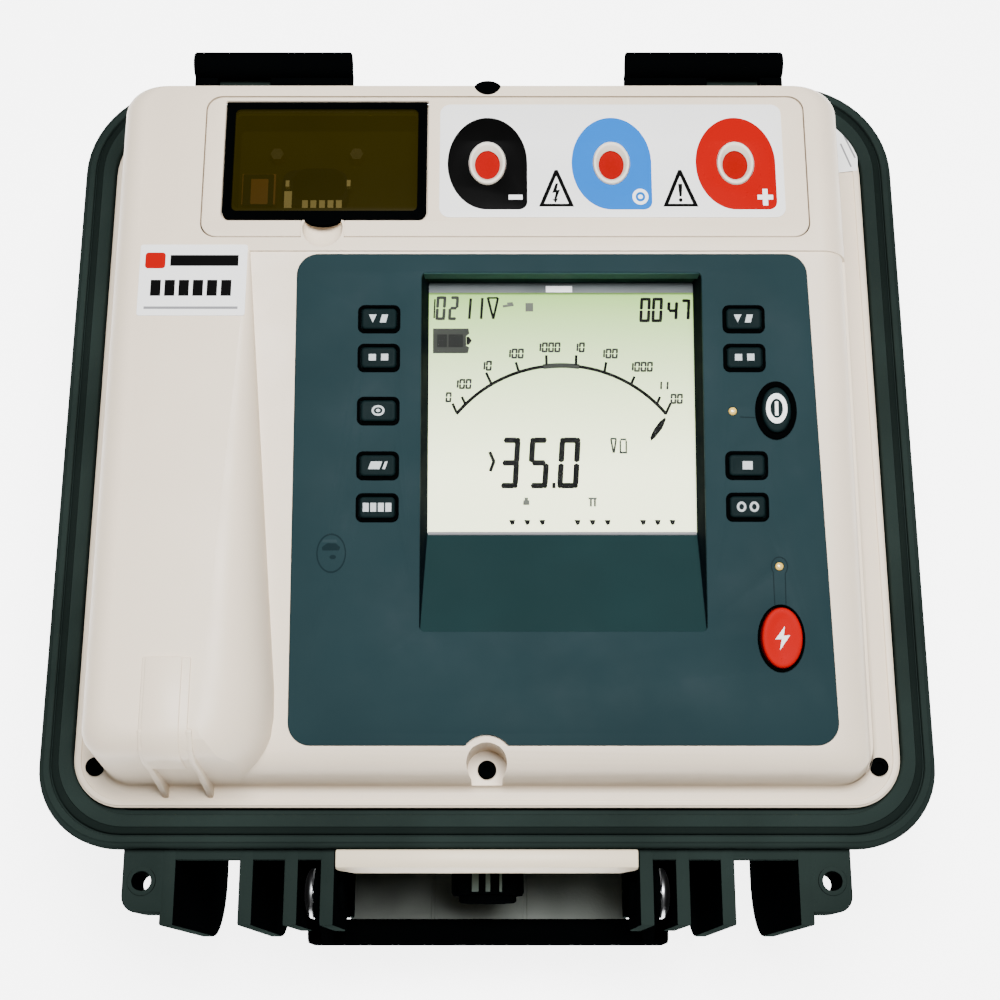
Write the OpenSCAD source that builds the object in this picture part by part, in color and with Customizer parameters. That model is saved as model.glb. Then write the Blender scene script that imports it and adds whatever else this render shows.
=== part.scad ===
// Portable insulation resistance tester: a rugged floor case with its lid lifted off,
// and the moulded instrument panel that drops into it. Every module is drawn with z = 0
// on the top face of the case flange and y = 0 at the flange's centre; at_case() then
// stands the whole tester on z = 0 with its outer box centred on x = y = 0.

/* [Case] */
// Width of the case flange, left to right
case_w = 330; // [300:1:360]
// Depth of the case flange, front to back
case_d = 312; // [290:1:340]
// Height of the flange's top face above the floor
flange_h = 132; // [110:1:150]
// Width of the flat flange ring
flange_w = 12.2; // [10:0.1:15]
// Thickness of the flange ring
flange_t = 10; // [8:1:14]
// Case wall thickness
wall = 3.5; // [3:0.5:5]
// Corner radius of the flange at the back
corner_back = 40; // [30:1:45]
// Corner radius of the flange at the front
corner_front = 30; // [25:1:40]

/* [Panel] */
// Height of the upper strip and battery hump above the flange
strip_h = 48; // [40:1:55]
// Tilt of the control area in degrees
tilt = 8.553; // [5:0.001:12]
// Back edge of the tilted control area, from the flange's centre
tilt_y = 57.6; // [50:0.1:60]
// Wall thickness of the panel moulding
skin = 2.5; // [2:0.1:3]
// Length of the control overlay down the tilt
overlay_l = 181.5; // [170:0.5:182]
// Depth of the display recess
display_depth = 13; // [10:0.5:15]

/* [Keys] */
// Width of a rectangular key
key_w = 12.8; // [10:0.1:14]
// Height of a rectangular key
key_l = 7.8; // [6:0.1:9]
// Height of the keys above the overlay
key_proud = 1.6; // [1:0.1:2.5]
// Clearance round every key
key_gap = 0.35; // [0.3:0.05:0.6]

/* [Terminals] */
// Distance between terminal centres
pitch = 46.75; // [40:0.05:50]
// Bore radius of a terminal socket
socket_r = 4.7; // [4:0.1:5]
// How far the terminal shutter slides to open
shutter_travel = 12; // [11:0.5:12]

/* [Front hardware] */
// Height of the handle's pivot axis, from the flange's top face
pivot_z = -25; // [-35:1:-20]
// Distance of the pivot axis in front of the flange's centre
pivot_y = -170.5; // [-172:0.1:-170]
// Radius of the pivot pins
pivot_r = 3; // [2.5:0.1:4]
// Height of the shelf behind the handle's bar, from the flange's top face
shelf_z = -96; // [-100:1:-94]
// Thickness of the padlock lugs
lug_t = 22; // [10:1:24]

/* [Hidden] */
$fn = 48;
corner_fn = 8;
case_cy = 8.5;
knuckle = [165.2, -1];
knuckle_r = 5.6;
rib_x = [58.05, 71.25, 87.6, 115.85];
rib_t = 5.2;
strip_z = strip_h;
tilt_z = strip_h - 1;
label_t = 0.3;
overlay_x = [-70.5, 122.5];
display_x = [-25.6, 79.8];
glass_x = [-22.2, 77.8];
glass_v = [-104.2, -9.6];
left_keys = [-25.9, -40.5, -60.4, -80.7, -96.1];
right_keys = [-25.9, -40.5, -80.6, -95.9];
left_key_x = -39.8;
right_key_x = 94.6;
oval_x = 105.7;
power_v = -60.2;
test_v = -143.4;
led_places = [[90, -60.4], [105.7, -117.5]];
board_w = -9.6;
term_y = 93.4;
term_x = [0, pitch, 2 * pitch];
cover_x = [-99.3, -22.8];
cover_y = [70.4, 119.8];
cover_hinge = [118.85, strip_h - 0.75];
tab_x = -61.4;
thumb_y = 66.6;
thumb_r = 7.6;
screw_places = [[-144, -126.6], [144, -126.6], [0, -127.8], [-112, 138.6], [112, 138.6], [0, 128.2]];
foot_places = [[-115, -105], [115, -105], [-115, 105], [115, 105]];
valve_z = -45;

// ---- helpers -------------------------------------------------------------------------

function arc(c, r, a0) = [for (i = [0:corner_fn]) let (a = a0 + 90 * i / corner_fn)
    [c[0] + r * cos(a), c[1] + r * sin(a)]];

// Outline of a rectangle x0..x1 by y0..y1 with front corners rf and back corners rb.
function outline(x, y, rf, rb) = concat(
    arc([x[1] - rf, y[0] + rf], rf, -90), arc([x[1] - rb, y[1] - rb], rb, 0),
    arc([x[0] + rb, y[1] - rb], rb, 90), arc([x[0] + rf, y[0] + rf], rf, 180));

module plate(x, y, z, r) {
    translate([0, 0, z[0]]) linear_extrude(z[1] - z[0]) polygon(outline(x, y, r, r));
}

module at_case() translate([0, case_cy, flange_h]) children();

module on_tilt() at_case() tilt_local() children();

module tilt_local() translate([0, tilt_y, tilt_z]) rotate([tilt, 0, 0]) children();

module ring_band(inset_out, inset_in, z0, z1) {
    hw = case_w / 2;
    hd = case_d / 2;
    translate([0, 0, z0]) linear_extrude(z1 - z0) difference() {
        polygon(outline([-hw + inset_out, hw - inset_out], [-hd + inset_out, hd - inset_out],
            corner_front - inset_out, corner_back - inset_out));
        polygon(outline([-hw + inset_in, hw - inset_in], [-hd + inset_in, hd - inset_in],
            corner_front - inset_in, corner_back - inset_in));
    }
}

// Solid frustum of the case below the flange, moved in by "inset".
module case_frustum(inset, bottom, top) {
    hull() {
        linear_slab(case_w / 2 - 7 - inset, case_d / 2 - 7 - inset, top - 0.1, 30 - inset);
        linear_slab(case_w / 2 - 16 - inset, case_d / 2 - 16 - inset, bottom, 24 - inset);
    }
}

module linear_slab(hw, hd, z, r) {
    translate([0, 0, z]) linear_extrude(0.1) polygon(outline([-hw, hw], [-hd, hd], r, r));
}

module mirrored_x() {
    children();
    mirror([1, 0, 0]) children();
}

// ---- case ----------------------------------------------------------------------------

// Upright rib on the front wall, swept back at its foot. The two ribs each side of the
// handle's arm are also set back lower down, to clear the handle's bar.
module case_rib(x) {
    bar_relief = x < 80;
    front = bar_relief ? [[-176.5, -64], [-183, -60]] : [];
    sweep = bar_relief ? [-152, 24.5] : [-158, 26];
    foot = -126;
    translate([x - rib_t / 2, 0, 0]) rotate([90, 0, 90]) linear_extrude(rib_t)
        polygon(concat([[-144, -6], [-140, foot]],
            [for (a = [270:-15:180]) [sweep[0] + sweep[1] * cos(a), foot + 30 + 30 * sin(a)]],
            front, [[-183, -6]]));
}

// Shelf between the inner ribs, below the relief valve, in three sections.
module front_shelf() {
    for (x = [[-57, -23.6], [-22.4, 14.4], [15.6, 57]]) translate([x[0], -177.6, shelf_z - 4])
        cube([x[1] - x[0], 35.6, 4]);
    translate([-57, -177.2, shelf_z - 4]) cube([114, 34.8, 3.4]);
}

// Band under the flange that the ribs and lugs grow out of.
module front_skirt() {
    translate([55.45, -159.8, -9.8]) cube([77, 14, 3.8]);
}

module padlock_lug() {
    translate([-132.7, 0, -6 - lug_t]) linear_extrude(lug_t)
        polygon(concat([[17, -146], [0, -146]], [for (a = [180:15:270]) [6 + 6 * cos(a), -172.5 + 6 * sin(a)]],
            [[17, -178.5]]));
}

module case_base() {
    color("#1d2624") at_case() difference() {
        union() {
            difference() {
                union() {
                    case_frustum(0, -flange_h + 3, -flange_t + 1);
                    ring_band(0, flange_w, -flange_t, 0);
                    ring_band(7, 22, -flange_t, -5.2);
                    mirrored_x() {
                        for (x = rib_x) case_rib(x);
                        padlock_lug();
                        front_skirt();
                    }
                    front_shelf();
                }
                case_frustum(wall, -flange_h + 3 + wall, -flange_t);
                plate([-143, 143], [-134, 134], [-flange_t - 2, 1], 18);
                ring_band(4.5, 7.5, -2, 1);
            }
            for (p = screw_places) translate([p[0], p[1], -24]) cylinder(r = 6, h = 18.8);
            for (s = [-1, 1]) translate([-3, s * 136 - 7.5, -24]) cube([6, 15, 18.8]);
        }
        for (p = screw_places) translate([p[0], p[1], -22]) cylinder(r = 3.25, h = 20);
        mirrored_x() {
            translate([-125.5, -167.3, -lug_t - 8]) cylinder(r = 3.5, h = lug_t + 8);
            translate([50, pivot_y, pivot_z]) rotate([0, 90, 0]) cylinder(r = pivot_r + 0.05, h = 12);
        }
        translate([0, -140, valve_z]) rotate([90, 0, 0]) cylinder(r = 9.05, h = 20);
    }
}

module flange_seal() {
    color("#0d1211") at_case() ring_band(4.7, 7.3, -1.9, -0.3);
}

module hinge_knuckles() {
    color("#111416") at_case() mirrored_x() difference() {
        union() {
            translate([57, knuckle[0], knuckle[1]]) rotate([0, 90, 0]) cylinder(r = knuckle_r, h = 65.5);
            for (x = [[57, 34], [113, 9.5]]) translate([x[0], 156.05, -9.5]) cube([x[1], 9.2, 8.5]);
        }
        translate([50, knuckle[0], knuckle[1]]) rotate([0, 90, 0]) cylinder(r = 2.6, h = 80);
    }
}

module rubber_feet() {
    color("#151515") translate([0, case_cy, 0]) for (p = foot_places) translate([p[0], p[1], 0])
        cylinder(r = 11, h = 2.95);
}

module screw_inserts() {
    color("#c8a24a") at_case() for (p = screw_places) translate([p[0], p[1], -21.9]) difference() {
        cylinder(r = 3.2, h = 12);
        translate([0, 0, -1]) cylinder(r = 2, h = 14);
    }
}

module front_trim() {
    color("#e0dad2") at_case() difference() {
        translate([-55, -163.5, -24]) cube([110, 7.4, 21]);
        translate([-60, -163.5, -24]) rotate([45, 0, 0]) cube([120, 2.5, 2.5], center = false);
    }
}

module valve_body() {
    color("#17191a") at_case() translate([0, 0, valve_z]) rotate([90, 0, 0]) difference() {
        union() {
            translate([0, 0, 143]) cylinder(r = 9, h = 14);
            translate([0, 0, 155]) cylinder(r = 13.5, h = 4);
        }
        translate([0, 0, 149]) cylinder(r = 4.05, h = 12);
    }
}

module valve_knob() {
    color("#202324") at_case() translate([0, 0, valve_z]) rotate([90, 0, 0]) difference() {
        union() {
            translate([0, 0, 159.4]) cylinder(r = 14, h = 11);
            translate([0, 0, 170]) cylinder(r = 11, h = 3);
            translate([0, 0, 150]) cylinder(r = 4, h = 10);
        }
        for (a = [0:30:330]) rotate(a) translate([15.2, 0, 158]) cylinder(r = 2.4, h = 16);
    }
}

module handle_pins() {
    color("#b9bcbd") at_case() mirrored_x() translate([0, pivot_y, pivot_z]) rotate([0, 90, 0]) {
        translate([0, 0, 53.4]) cylinder(r = 5.5, h = 2);
        translate([0, 0, 55]) cylinder(r = pivot_r, h = 10);
        translate([0, 0, 64.5]) rotate_extrude() polygon(concat([[0, 0], [9.3, 0]],
            [for (a = [0:15:90]) [9.3 * cos(a), 0.6 + 3.1 * sin(a)]]));
    }
}

// U-shaped handle hanging against the front, offset forwards for the fingers.
module carry_handle() {
    arm = [for (a = [0:15:180]) [10 * cos(a), 10 * sin(a)]];
    color("#131516") at_case() difference() {
        union() {
            mirrored_x() translate([61.1, pivot_y, pivot_z]) rotate([90, 0, 90]) linear_extrude(3)
                polygon(concat(arm, [[-10, -8], [-17.3, -26], [-17.3, -62], [-7.3, -62], [-7.3, -30],
                    [4, -16], [10, -8]]));
            translate([0, pivot_y - 12.3, pivot_z - 55.5]) hull() for (x = [-67, 67], z = [-6.5, 6.5])
                translate([x, 0, z]) rotate([0, 90, 0]) cylinder(r = 5, h = 10, center = true, $fn = 32);
        }
        mirrored_x() translate([60, pivot_y, pivot_z]) rotate([0, 90, 0])
            cylinder(r = pivot_r + 0.05, h = 9);
    }
}

// ---- instrument panel ----------------------------------------------------------------

// The raised body of the panel, moved in by "inset" on the sides and the top.
module panel_body(inset, base) {
    difference() {
        hull() {
            translate([0, 0, base]) linear_extrude(0.1)
                polygon(outline([-142 + inset, 142 - inset], [-134 + inset, 134 - inset], 13 - inset, 13 - inset));
            translate([0, 0, strip_z - inset - 0.1]) linear_extrude(0.1)
                polygon(outline([-139 + inset, 132.7 - inset], [-128 + inset, 126 - inset], 10 - inset, 10 - inset));
        }
        intersection() {
            translate([0, 0, -inset]) tilt_local() translate([-200, -300, 0]) cube([400, 300, 80]);
            translate([-88.5 - inset, -300, strip_z - inset]) rotate([0, -24, 0])
                translate([0, 0, -150]) cube([400, tilt_y - inset + 300, 300]);
        }
    }
}

module screw_well_cuts(grow) {
    for (p = screw_places) translate([p[0], p[1], -2 - grow])
        cylinder(r = (p[0] == 0 && p[1] < 0 ? 7.3 : p[0] == 0 ? 3.6 : 5.6) + grow, h = 60);
}

module strap_relief() {
    translate([-118.3, -129.5, strip_z - 1]) linear_extrude(2.2)
        polygon(outline([0, 16.8], [0, 34], 0.5, 4));
    for (x = [-118.6, -102.2]) translate([x, 0, 0]) rotate([90, 0, 90]) linear_extrude(2.4)
        polygon([[-127, strip_z - 6], [-129.4, strip_z - 2], [-130.5, strip_z - 8], [-138, -2], [-130, -2]]);
}

// Opening that the terminal plate drops into, less the tongue that carries the thumb cup.
module terminal_plate_seat() {
    difference() {
        plate([-107.2, 120.5], [63, 122.2], [strip_z - 8, strip_z + 1], 6);
        translate([tab_x - 9.4, 60, strip_z - 9]) cube([18.8, 9.6, 12]);
    }
}

module panel_fascia() {
    color("#e0dad2") at_case() difference() {
        union() {
            difference() {
                union() {
                    panel_body(0, -2.2);
                    translate([0, 0, -5]) linear_extrude(3)
                        polygon(outline([-152.2, 152.2], [-143.2, 143.2], 18.4, 28.4));
                    strap_relief();
                }
                difference() {
                    panel_body(skin, -6);
                    screw_well_cuts(2);
                }
            }
            intersection() {
                panel_body(0, -4.9);
                screw_well_cuts(2);
            }
            translate([tab_x, thumb_y, strip_z - 7.4]) cylinder(r = thumb_r + 1.2, h = 7.3);
        }
        screw_well_cuts(0);
        for (p = screw_places) translate([p[0], p[1], -8]) cylinder(r = 2.1, h = 10);
        terminal_plate_seat();
        translate([tab_x, thumb_y, strip_z - 5.4]) {
            cylinder(r = thumb_r, h = 7);
            translate([-thumb_r, 0, 0]) cube([2 * thumb_r, 8, 7]);
        }
        tilt_local() {
            translate([0, 0, -1.25]) linear_extrude(6) polygon(overlay_outline(0.2));
            plate([overlay_x[0] + 5, overlay_x[1] - 5], [-overlay_l + 16, -4.6], [-20, 2], 4);
        }
    }
}

module panel_screws() {
    color("#1a1c1d") at_case() for (p = screw_places) translate([p[0], p[1], 0]) difference() {
        union() {
            translate([0, 0, -1.95]) cylinder(r = 3.4, h = 2.4);
            translate([0, 0, -17]) cylinder(r = 1.9, h = 16);
        }
        translate([0, 0, -0.6]) cylinder(r = 1.6, h = 2, $fn = 6);
    }
}

module terminal_plate() {
    color("#e6e1da") at_case() difference() {
        plate([-107, 120.3], [63.2, 122], [strip_z - 3, strip_z], 6);
        translate([tab_x - 9.7, 60, strip_z - 4]) cube([19.4, 10.4, 5]);
        plate([-18.9, 114.2], [83.2, 103.6], [strip_z - 4, strip_z - 1.15], 2);
        translate([0, 0, strip_z - 2]) linear_extrude(3) polygon(outline(
            [cover_x[0] - 0.35, cover_x[1] + 0.35], [cover_y[0] - 0.35, cover_y[1] + 0.35], 3, 0.3));
        plate([cover_x[0] + 3.5, cover_x[1] - 3.5], [cover_y[0] + 3.5, cover_y[1] - 4.5],
            [strip_z - 8, strip_z], 2);
        translate([cover_x[0] - 2, cover_hinge[0], cover_hinge[1]]) rotate([0, 90, 0])
            cylinder(r = 0.65, h = cover_x[1] - cover_x[0] + 4);
        for (x = term_x) translate([x, term_y, 0]) oval_tube(0.15, 60);
    }
}

module oval_tube(grow, h) {
    linear_extrude(h) polygon([for (a = [0:10:350])
        [(6.85 + grow) * cos(a), (8.85 + grow) * sin(a)]]);
}

module terminal_label() {
    color("#f4f3f0") at_case() difference() {
        plate([-18, 111.6], [71, 118.4], [strip_z + 0.02, strip_z + label_t], 4);
        for (x = term_x) translate([x, term_y, 0]) oval_tube(0.15, 60);
    }
}

module socket_rings() {
    color("#f3efe8") at_case() for (x = term_x) translate([x, term_y, 0]) difference() {
        translate([0, 0, strip_z - 1.1]) oval_tube(0, 2.3);
        translate([0, 0, 30]) cylinder(r = socket_r, h = 30);
    }
}

module terminal_block() {
    color("#25282a") at_case() difference() {
        translate([-20.5, 79, 16]) cube([136.5, 29, strip_z - 19.15]);
        for (x = term_x) translate([x, term_y, 18]) cylinder(r = socket_r, h = 40);
        for (x = term_x) translate([x, term_y, 10]) cylinder(r = 2.05, h = 12);
    }
}

module terminal_shutter() {
    color("#d40000") at_case() translate([0, 0, strip_z - 2.85]) linear_extrude(1.4) difference() {
        polygon(outline([-18.5, pitch * 2 + 8], [83.6, 103.2], 2, 2));
        for (x = term_x) translate([x - shutter_travel, term_y]) circle(r = socket_r + 0.3);
    }
}

module socket_contacts() {
    color("#c8a24a") at_case() for (x = term_x) translate([x, term_y, 0]) {
        translate([0, 0, 12]) cylinder(r = 2, h = 24);
        translate([0, 0, 12]) cylinder(r = 3.2, h = 3.9);
    }
}

module terminal_leads() {
    color("#7a1f1f") at_case() for (x = term_x) translate([x, term_y, -71.9]) cylinder(r = 2.2, h = 83.8);
}

module port_tray() {
    x = [cover_x[0] + 1.2, cover_x[1] - 1.2];
    y = [cover_y[0] + 5, cover_y[1] - 2];
    color("#1c1b18") at_case() difference() {
        plate(x, y, [30, strip_z - 3.1], 3);
        plate([x[0] + 2.3, x[1] - 2.3], [y[0] + 1.2, y[1] - 2.3], [33, strip_z], 2);
        translate([-94.2, 81.9, 20]) cube([13.2, 13.2, 20]);
        translate([-66, 88.6, 20]) linear_extrude(20) polygon(d_outline(0.2));
    }
}

// Outline of the nine-way connector shell, wider at the front.
function d_outline(grow) = outline([-12.5 - grow, 12.5 + grow], [-7.5 - grow, 7.5 + grow], 5, 5);

module data_port() {
    color("#c46a1c") at_case() difference() {
        translate([-94, 82.1, 24]) cube([12.8, 12.8, 13]);
        translate([-91.6, 84.5, 30]) cube([8, 8, 10]);
    }
}

module serial_port() {
    color("#101112") at_case() translate([-66, 88.6, 24]) difference() {
        linear_extrude(14) polygon(d_outline(0));
        translate([0, 0, 12.6]) linear_extrude(4)
            polygon(outline([-9.5, 9.5], [-4.8, 4.8], 3, 3));
        for (row = [[0, 5], [1, 4]], i = [0:row[1] - 1])
            translate([(i - (row[1] - 1) / 2) * 2.8, row[0] * -2.8 + 1.4, 8]) cylinder(r = 0.6, h = 9);
    }
}

module port_jackscrews() {
    color("#c9b070") at_case() for (x = [-82.1 + 1.1, -51 + 0.6]) translate([x, 103, 33.05])
        cylinder(r = 2.6, h = 5, $fn = 6);
}

module cover_frame() {
    body_y = [cover_y[0], cover_hinge[0]];
    color("#0e0f10") at_case() difference() {
        union() {
            translate([0, 0, cover_hinge[1] - 0.95]) linear_extrude(1.9) difference() {
                polygon(outline(cover_x, [body_y[0], body_y[1]], 3, 0.1));
                polygon(outline([cover_x[0] + 3.5, cover_x[1] - 3.5], [body_y[0] + 3.5, cover_y[1] - 4.5], 2, 2));
            }
            translate([cover_x[0], cover_hinge[0], cover_hinge[1]]) rotate([0, 90, 0])
                cylinder(r = 0.95, h = cover_x[1] - cover_x[0]);
            translate([tab_x, body_y[0] + 0.4, cover_hinge[1] - 0.95]) linear_extrude(2.1)
                polygon([for (a = [180:15:360]) [7.2 * cos(a), 3.3 * sin(a)]]);
        }
        translate([cover_x[0] - 1, cover_hinge[0], cover_hinge[1]]) rotate([0, 90, 0])
            cylinder(r = 0.65, h = 90);
    }
}

module cover_window() {
    color("#4a3d1e", 0.7) at_case() translate([0, 0, cover_hinge[1] - 0.7]) linear_extrude(1.4)
        polygon(outline([cover_x[0] + 3.55, cover_x[1] - 3.55], [cover_y[0] + 3.55, cover_y[1] - 4.55], 2, 2));
}

module cover_pin() {
    color("#b9bcbd") at_case() translate([cover_x[0] - 1.6, cover_hinge[0], cover_hinge[1]])
        rotate([0, 90, 0]) cylinder(r = 0.6, h = cover_x[1] - cover_x[0] + 3.2);
}

module name_label() {
    color("#f6f6f4") at_case() plate([-128.5, -88.8], [31.4, 59.9], [strip_z + 0.02, strip_z + label_t], 1);
}

// ---- control area --------------------------------------------------------------------

module key_holes(w, l, grow) {
    for (v = left_keys) translate([left_key_x, v, 0]) rounded_bar(w + grow, l + grow);
    for (v = right_keys) translate([right_key_x, v, 0]) rounded_bar(w + grow, l + grow);
}

module rounded_bar(w, l) {
    translate([0, 0, -15]) linear_extrude(30) polygon(outline([-w / 2, w / 2], [-l / 2, l / 2], 1.6, 1.6));
}

// Elliptical prism, half-axes a and b.
module oval(a, b, w0, w1) {
    translate([0, 0, w0]) linear_extrude(w1 - w0) polygon([for (t = [0:7.5:352.5]) [a * cos(t), b * sin(t)]]);
}

// Outline of the overlay, a little wider at the front, grown by g.
function overlay_outline(g) = concat(
    arc([overlay_x[1] - 4.9, -overlay_l + 8], 8 + g, -90), arc([overlay_x[1] - 12, -9], 8 + g, 0),
    arc([overlay_x[0] + 8, -9], 8 + g, 90), arc([overlay_x[0] + 7.6, -overlay_l + 8], 8 + g, 180));

module control_overlay() {
    color("#3a545c") on_tilt() difference() {
        translate([0, 0, -1.2]) linear_extrude(1.5) polygon(overlay_outline(0));
        display_hole(0, 3);
        key_holes(key_w, key_l, 2 * key_gap);
        translate([oval_x, power_v, 0]) oval(5.6, 8.8, -5, 5);
        translate([oval_x, test_v, 0]) oval(7.6, 11.2, -5, 5);
        for (p = led_places) translate([p[0], p[1], -5]) cylinder(r = 1.6, h = 10);
        translate([0, -187.2, -5]) cylinder(r = 9.6, h = 10);
    }
}

// The recess for the display: upright walls and a sloping apron at the front.
module display_hole(grow, over) {
    hull() {
        translate([0, 0, 0]) linear_extrude(over)
            polygon(outline([display_x[0] - grow, display_x[1] + grow], [-141 - grow, -8 + grow], 2 + grow, 2 + grow));
        translate([0, 0, -display_depth]) linear_extrude(0.1)
            polygon(outline([glass_x[0] - grow, glass_x[1] + grow], [glass_v[0] - grow, glass_v[1] + grow], 1 + grow, 1 + grow));
    }
}

module display_surround() {
    color("#243238") on_tilt() difference() {
        translate([0, 0, -1.3]) mirror([0, 0, 1]) linear_extrude(display_depth - 1.3)
            polygon(outline([display_x[0] - 2.6, display_x[1] + 2.6], [-143.6, -5.6], 3, 3));
        display_hole(0, 3);
    }
}

module display_window() {
    color("#dfe8d8", 0.4) on_tilt() plate([glass_x[0] - 3, glass_x[1] + 3], [glass_v[0] - 3, glass_v[1] + 3],
        [-display_depth - 1.6, -display_depth - 0.1], 1);
}

module lcd_cell() {
    color("#cfe3b9") on_tilt() plate([glass_x[0] - 2, glass_x[1] + 2], [glass_v[0] - 2, glass_v[1] + 2],
        [-display_depth - 4, -display_depth - 1.7], 1);
}

module lcd_backlight() {
    color("#eef3e6") on_tilt() plate([glass_x[0] - 2.5, glass_x[1] + 2.5], [glass_v[0] - 2.5, glass_v[1] + 2.5],
        [-display_depth - 9, -display_depth - 4.1], 1);
}

module key_bezels() {
    color("#0f1416") on_tilt() difference() {
        intersection() {
            key_holes(key_w, key_l, 2.8);
            translate([-100, -200, 0.32]) cube([250, 200, 0.7]);
        }
        key_holes(key_w, key_l, 2 * key_gap);
    }
}

module oval_bezel(v, a, b, rim) {
    translate([oval_x, v, 0]) difference() {
        oval(a + rim, b + rim, 0.32, 1.5);
        oval(a, b, -1, 5);
    }
}

module power_bezel() {
    color("#0d1012") on_tilt() oval_bezel(power_v, 5.6, 8.8, 2);
}

module test_bezel() {
    color("#0d1012") on_tilt() oval_bezel(test_v, 7.6, 11.2, 0.9);
}

module key(x, v) {
    color("#2b3a40") on_tilt() translate([x, v, 0]) {
        translate([0, 0, -5.8]) linear_extrude(5.8 + key_proud)
            polygon(outline([-key_w / 2, key_w / 2], [-key_l / 2, key_l / 2], 1.4, 1.4));
        translate([0, 0, -3.4]) linear_extrude(1)
            polygon(outline([-key_w / 2 - 1.2, key_w / 2 + 1.2], [-key_l / 2 - 1.2, key_l / 2 + 1.2], 1.4, 1.4));
    }
}

module oval_button(v, a, b, proud) {
    on_tilt() translate([oval_x, v, 0]) {
        oval(a, b, -4.8, proud);
        oval(a + 1.2, b + 1.2, -3.8, -2.8);
    }
}

module key_left_1() key(left_key_x, left_keys[0]);
module key_left_2() key(left_key_x, left_keys[1]);
module key_left_3() key(left_key_x, left_keys[2]);
module key_left_4() key(left_key_x, left_keys[3]);
module key_left_5() key(left_key_x, left_keys[4]);
module key_right_1() key(right_key_x, right_keys[0]);
module key_right_2() key(right_key_x, right_keys[1]);
module key_right_3() key(right_key_x, right_keys[2]);
module key_right_4() key(right_key_x, right_keys[3]);
module power_key() color("#0e1113") oval_button(power_v, 5.25, 8.45, 2.6);
module test_button() color("#e42020") oval_button(test_v, 7.25, 10.85, 3.6);

module status_leds() {
    color("#e0922a") on_tilt() for (p = led_places) translate([p[0], p[1], 0]) {
        translate([0, 0, -7.5]) cylinder(r = 1.5, h = 8.1);
        translate([0, 0, -9.5]) cylinder(r = 2, h = 2.1);
    }
}

module control_board() {
    color("#1f5a34") on_tilt() difference() {
        plate([-60, 116.5], [-164, -8], [board_w - 1.6, board_w], 2);
        plate([display_x[0] - 3.4, display_x[1] + 3.4], [-144.4, -4.8], [-20, 0], 2);
        translate([0, -20, -15]) cube([30, 30, 10]);
    }
}

module switch_body(x, v) {
    translate([x, v, board_w + 0.05]) {
        translate([-3, -3, 0]) cube([6, 6, 1.6]);
        cylinder(r = 1.5, h = 2);
    }
}

module key_switches() {
    color("#2c2c2c") on_tilt() {
        for (v = left_keys) switch_body(left_key_x, v);
        for (v = right_keys) switch_body(right_key_x, v);
        switch_body(oval_x, power_v);
        switch_body(oval_x, test_v);
    }
}

// ---- inside the case -----------------------------------------------------------------

module main_board() {
    color("#1f5a34") at_case() {
        plate([-40, 130], [-115, 60], [-100, -98.4], 3);
        for (x = [-20:30:100]) translate([x, -80, -98.5]) cube([18, 14, 4]);
        for (x = [-10:40:110]) translate([x, 20, -98.5]) cylinder(r = 7, h = 22);
        translate([-20, -40, -98.5]) cube([40, 40, 6]);
    }
}

module board_posts() {
    color("#c9ccce") at_case() for (x = [-32, 122], y = [-107, 52]) translate([x, y, -125.4])
        cylinder(r = 4, h = 25.35);
}

module battery_pack() {
    color("#30343a") at_case() plate([-128, -58], [-110, 40], [-125.4, -65], 4);
}

module battery_strap() {
    x = [-129.4, -56.6];
    z = [-125.4, -63.8];
    color("#a9adb0") at_case() translate([0, -25, 0]) rotate([90, 0, 0]) linear_extrude(20)
        polygon([[x[0], z[0]], [x[0], z[1]], [x[1], z[1]], [x[1], z[0] + 1.2], [x[1] + 8, z[0] + 1.2],
            [x[1] + 8, z[0]], [x[1] - 1.2, z[0]], [x[1] - 1.2, z[1] - 1.1], [x[0] + 1.2, z[1] - 1.1],
            [x[0] + 1.2, z[0]]]);
}

module power_supply() {
    color("#8d9296") at_case() {
        plate([-128, -48], [60, 122], [-125.4, -84], 2);
        translate([-110, 75, -84.1]) cube([42, 34, 14]);
    }
}

module hv_module() {
    color("#3b3f43") at_case() difference() {
        plate([-20, 118], [70, 124], [-125.4, -62], 3);
        for (x = term_x) translate([x, term_y, -72]) cylinder(r = 5, h = 20);
    }
}

case_base();
flange_seal();
hinge_knuckles();
rubber_feet();
screw_inserts();
front_trim();
valve_body();
valve_knob();
handle_pins();
carry_handle();
panel_fascia();
panel_screws();
terminal_plate();
terminal_label();
socket_rings();
terminal_block();
terminal_shutter();
socket_contacts();
terminal_leads();
port_tray();
data_port();
serial_port();
port_jackscrews();
cover_frame();
cover_window();
cover_pin();
name_label();
control_overlay();
display_surround();
display_window();
lcd_cell();
lcd_backlight();
key_bezels();
power_bezel();
test_bezel();
key_left_1();
key_left_2();
key_left_3();
key_left_4();
key_left_5();
key_right_1();
key_right_2();
key_right_3();
key_right_4();
power_key();
test_button();
status_leds();
control_board();
key_switches();
main_board();
board_posts();
battery_pack();
battery_strap();
power_supply();
hv_module();
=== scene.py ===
"""Looks of the insulation resistance tester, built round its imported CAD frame."""
from math import asin, cos, hypot, pi, radians, sin, tan

import bmesh
import bpy
from mathutils import Matrix, Vector


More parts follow.
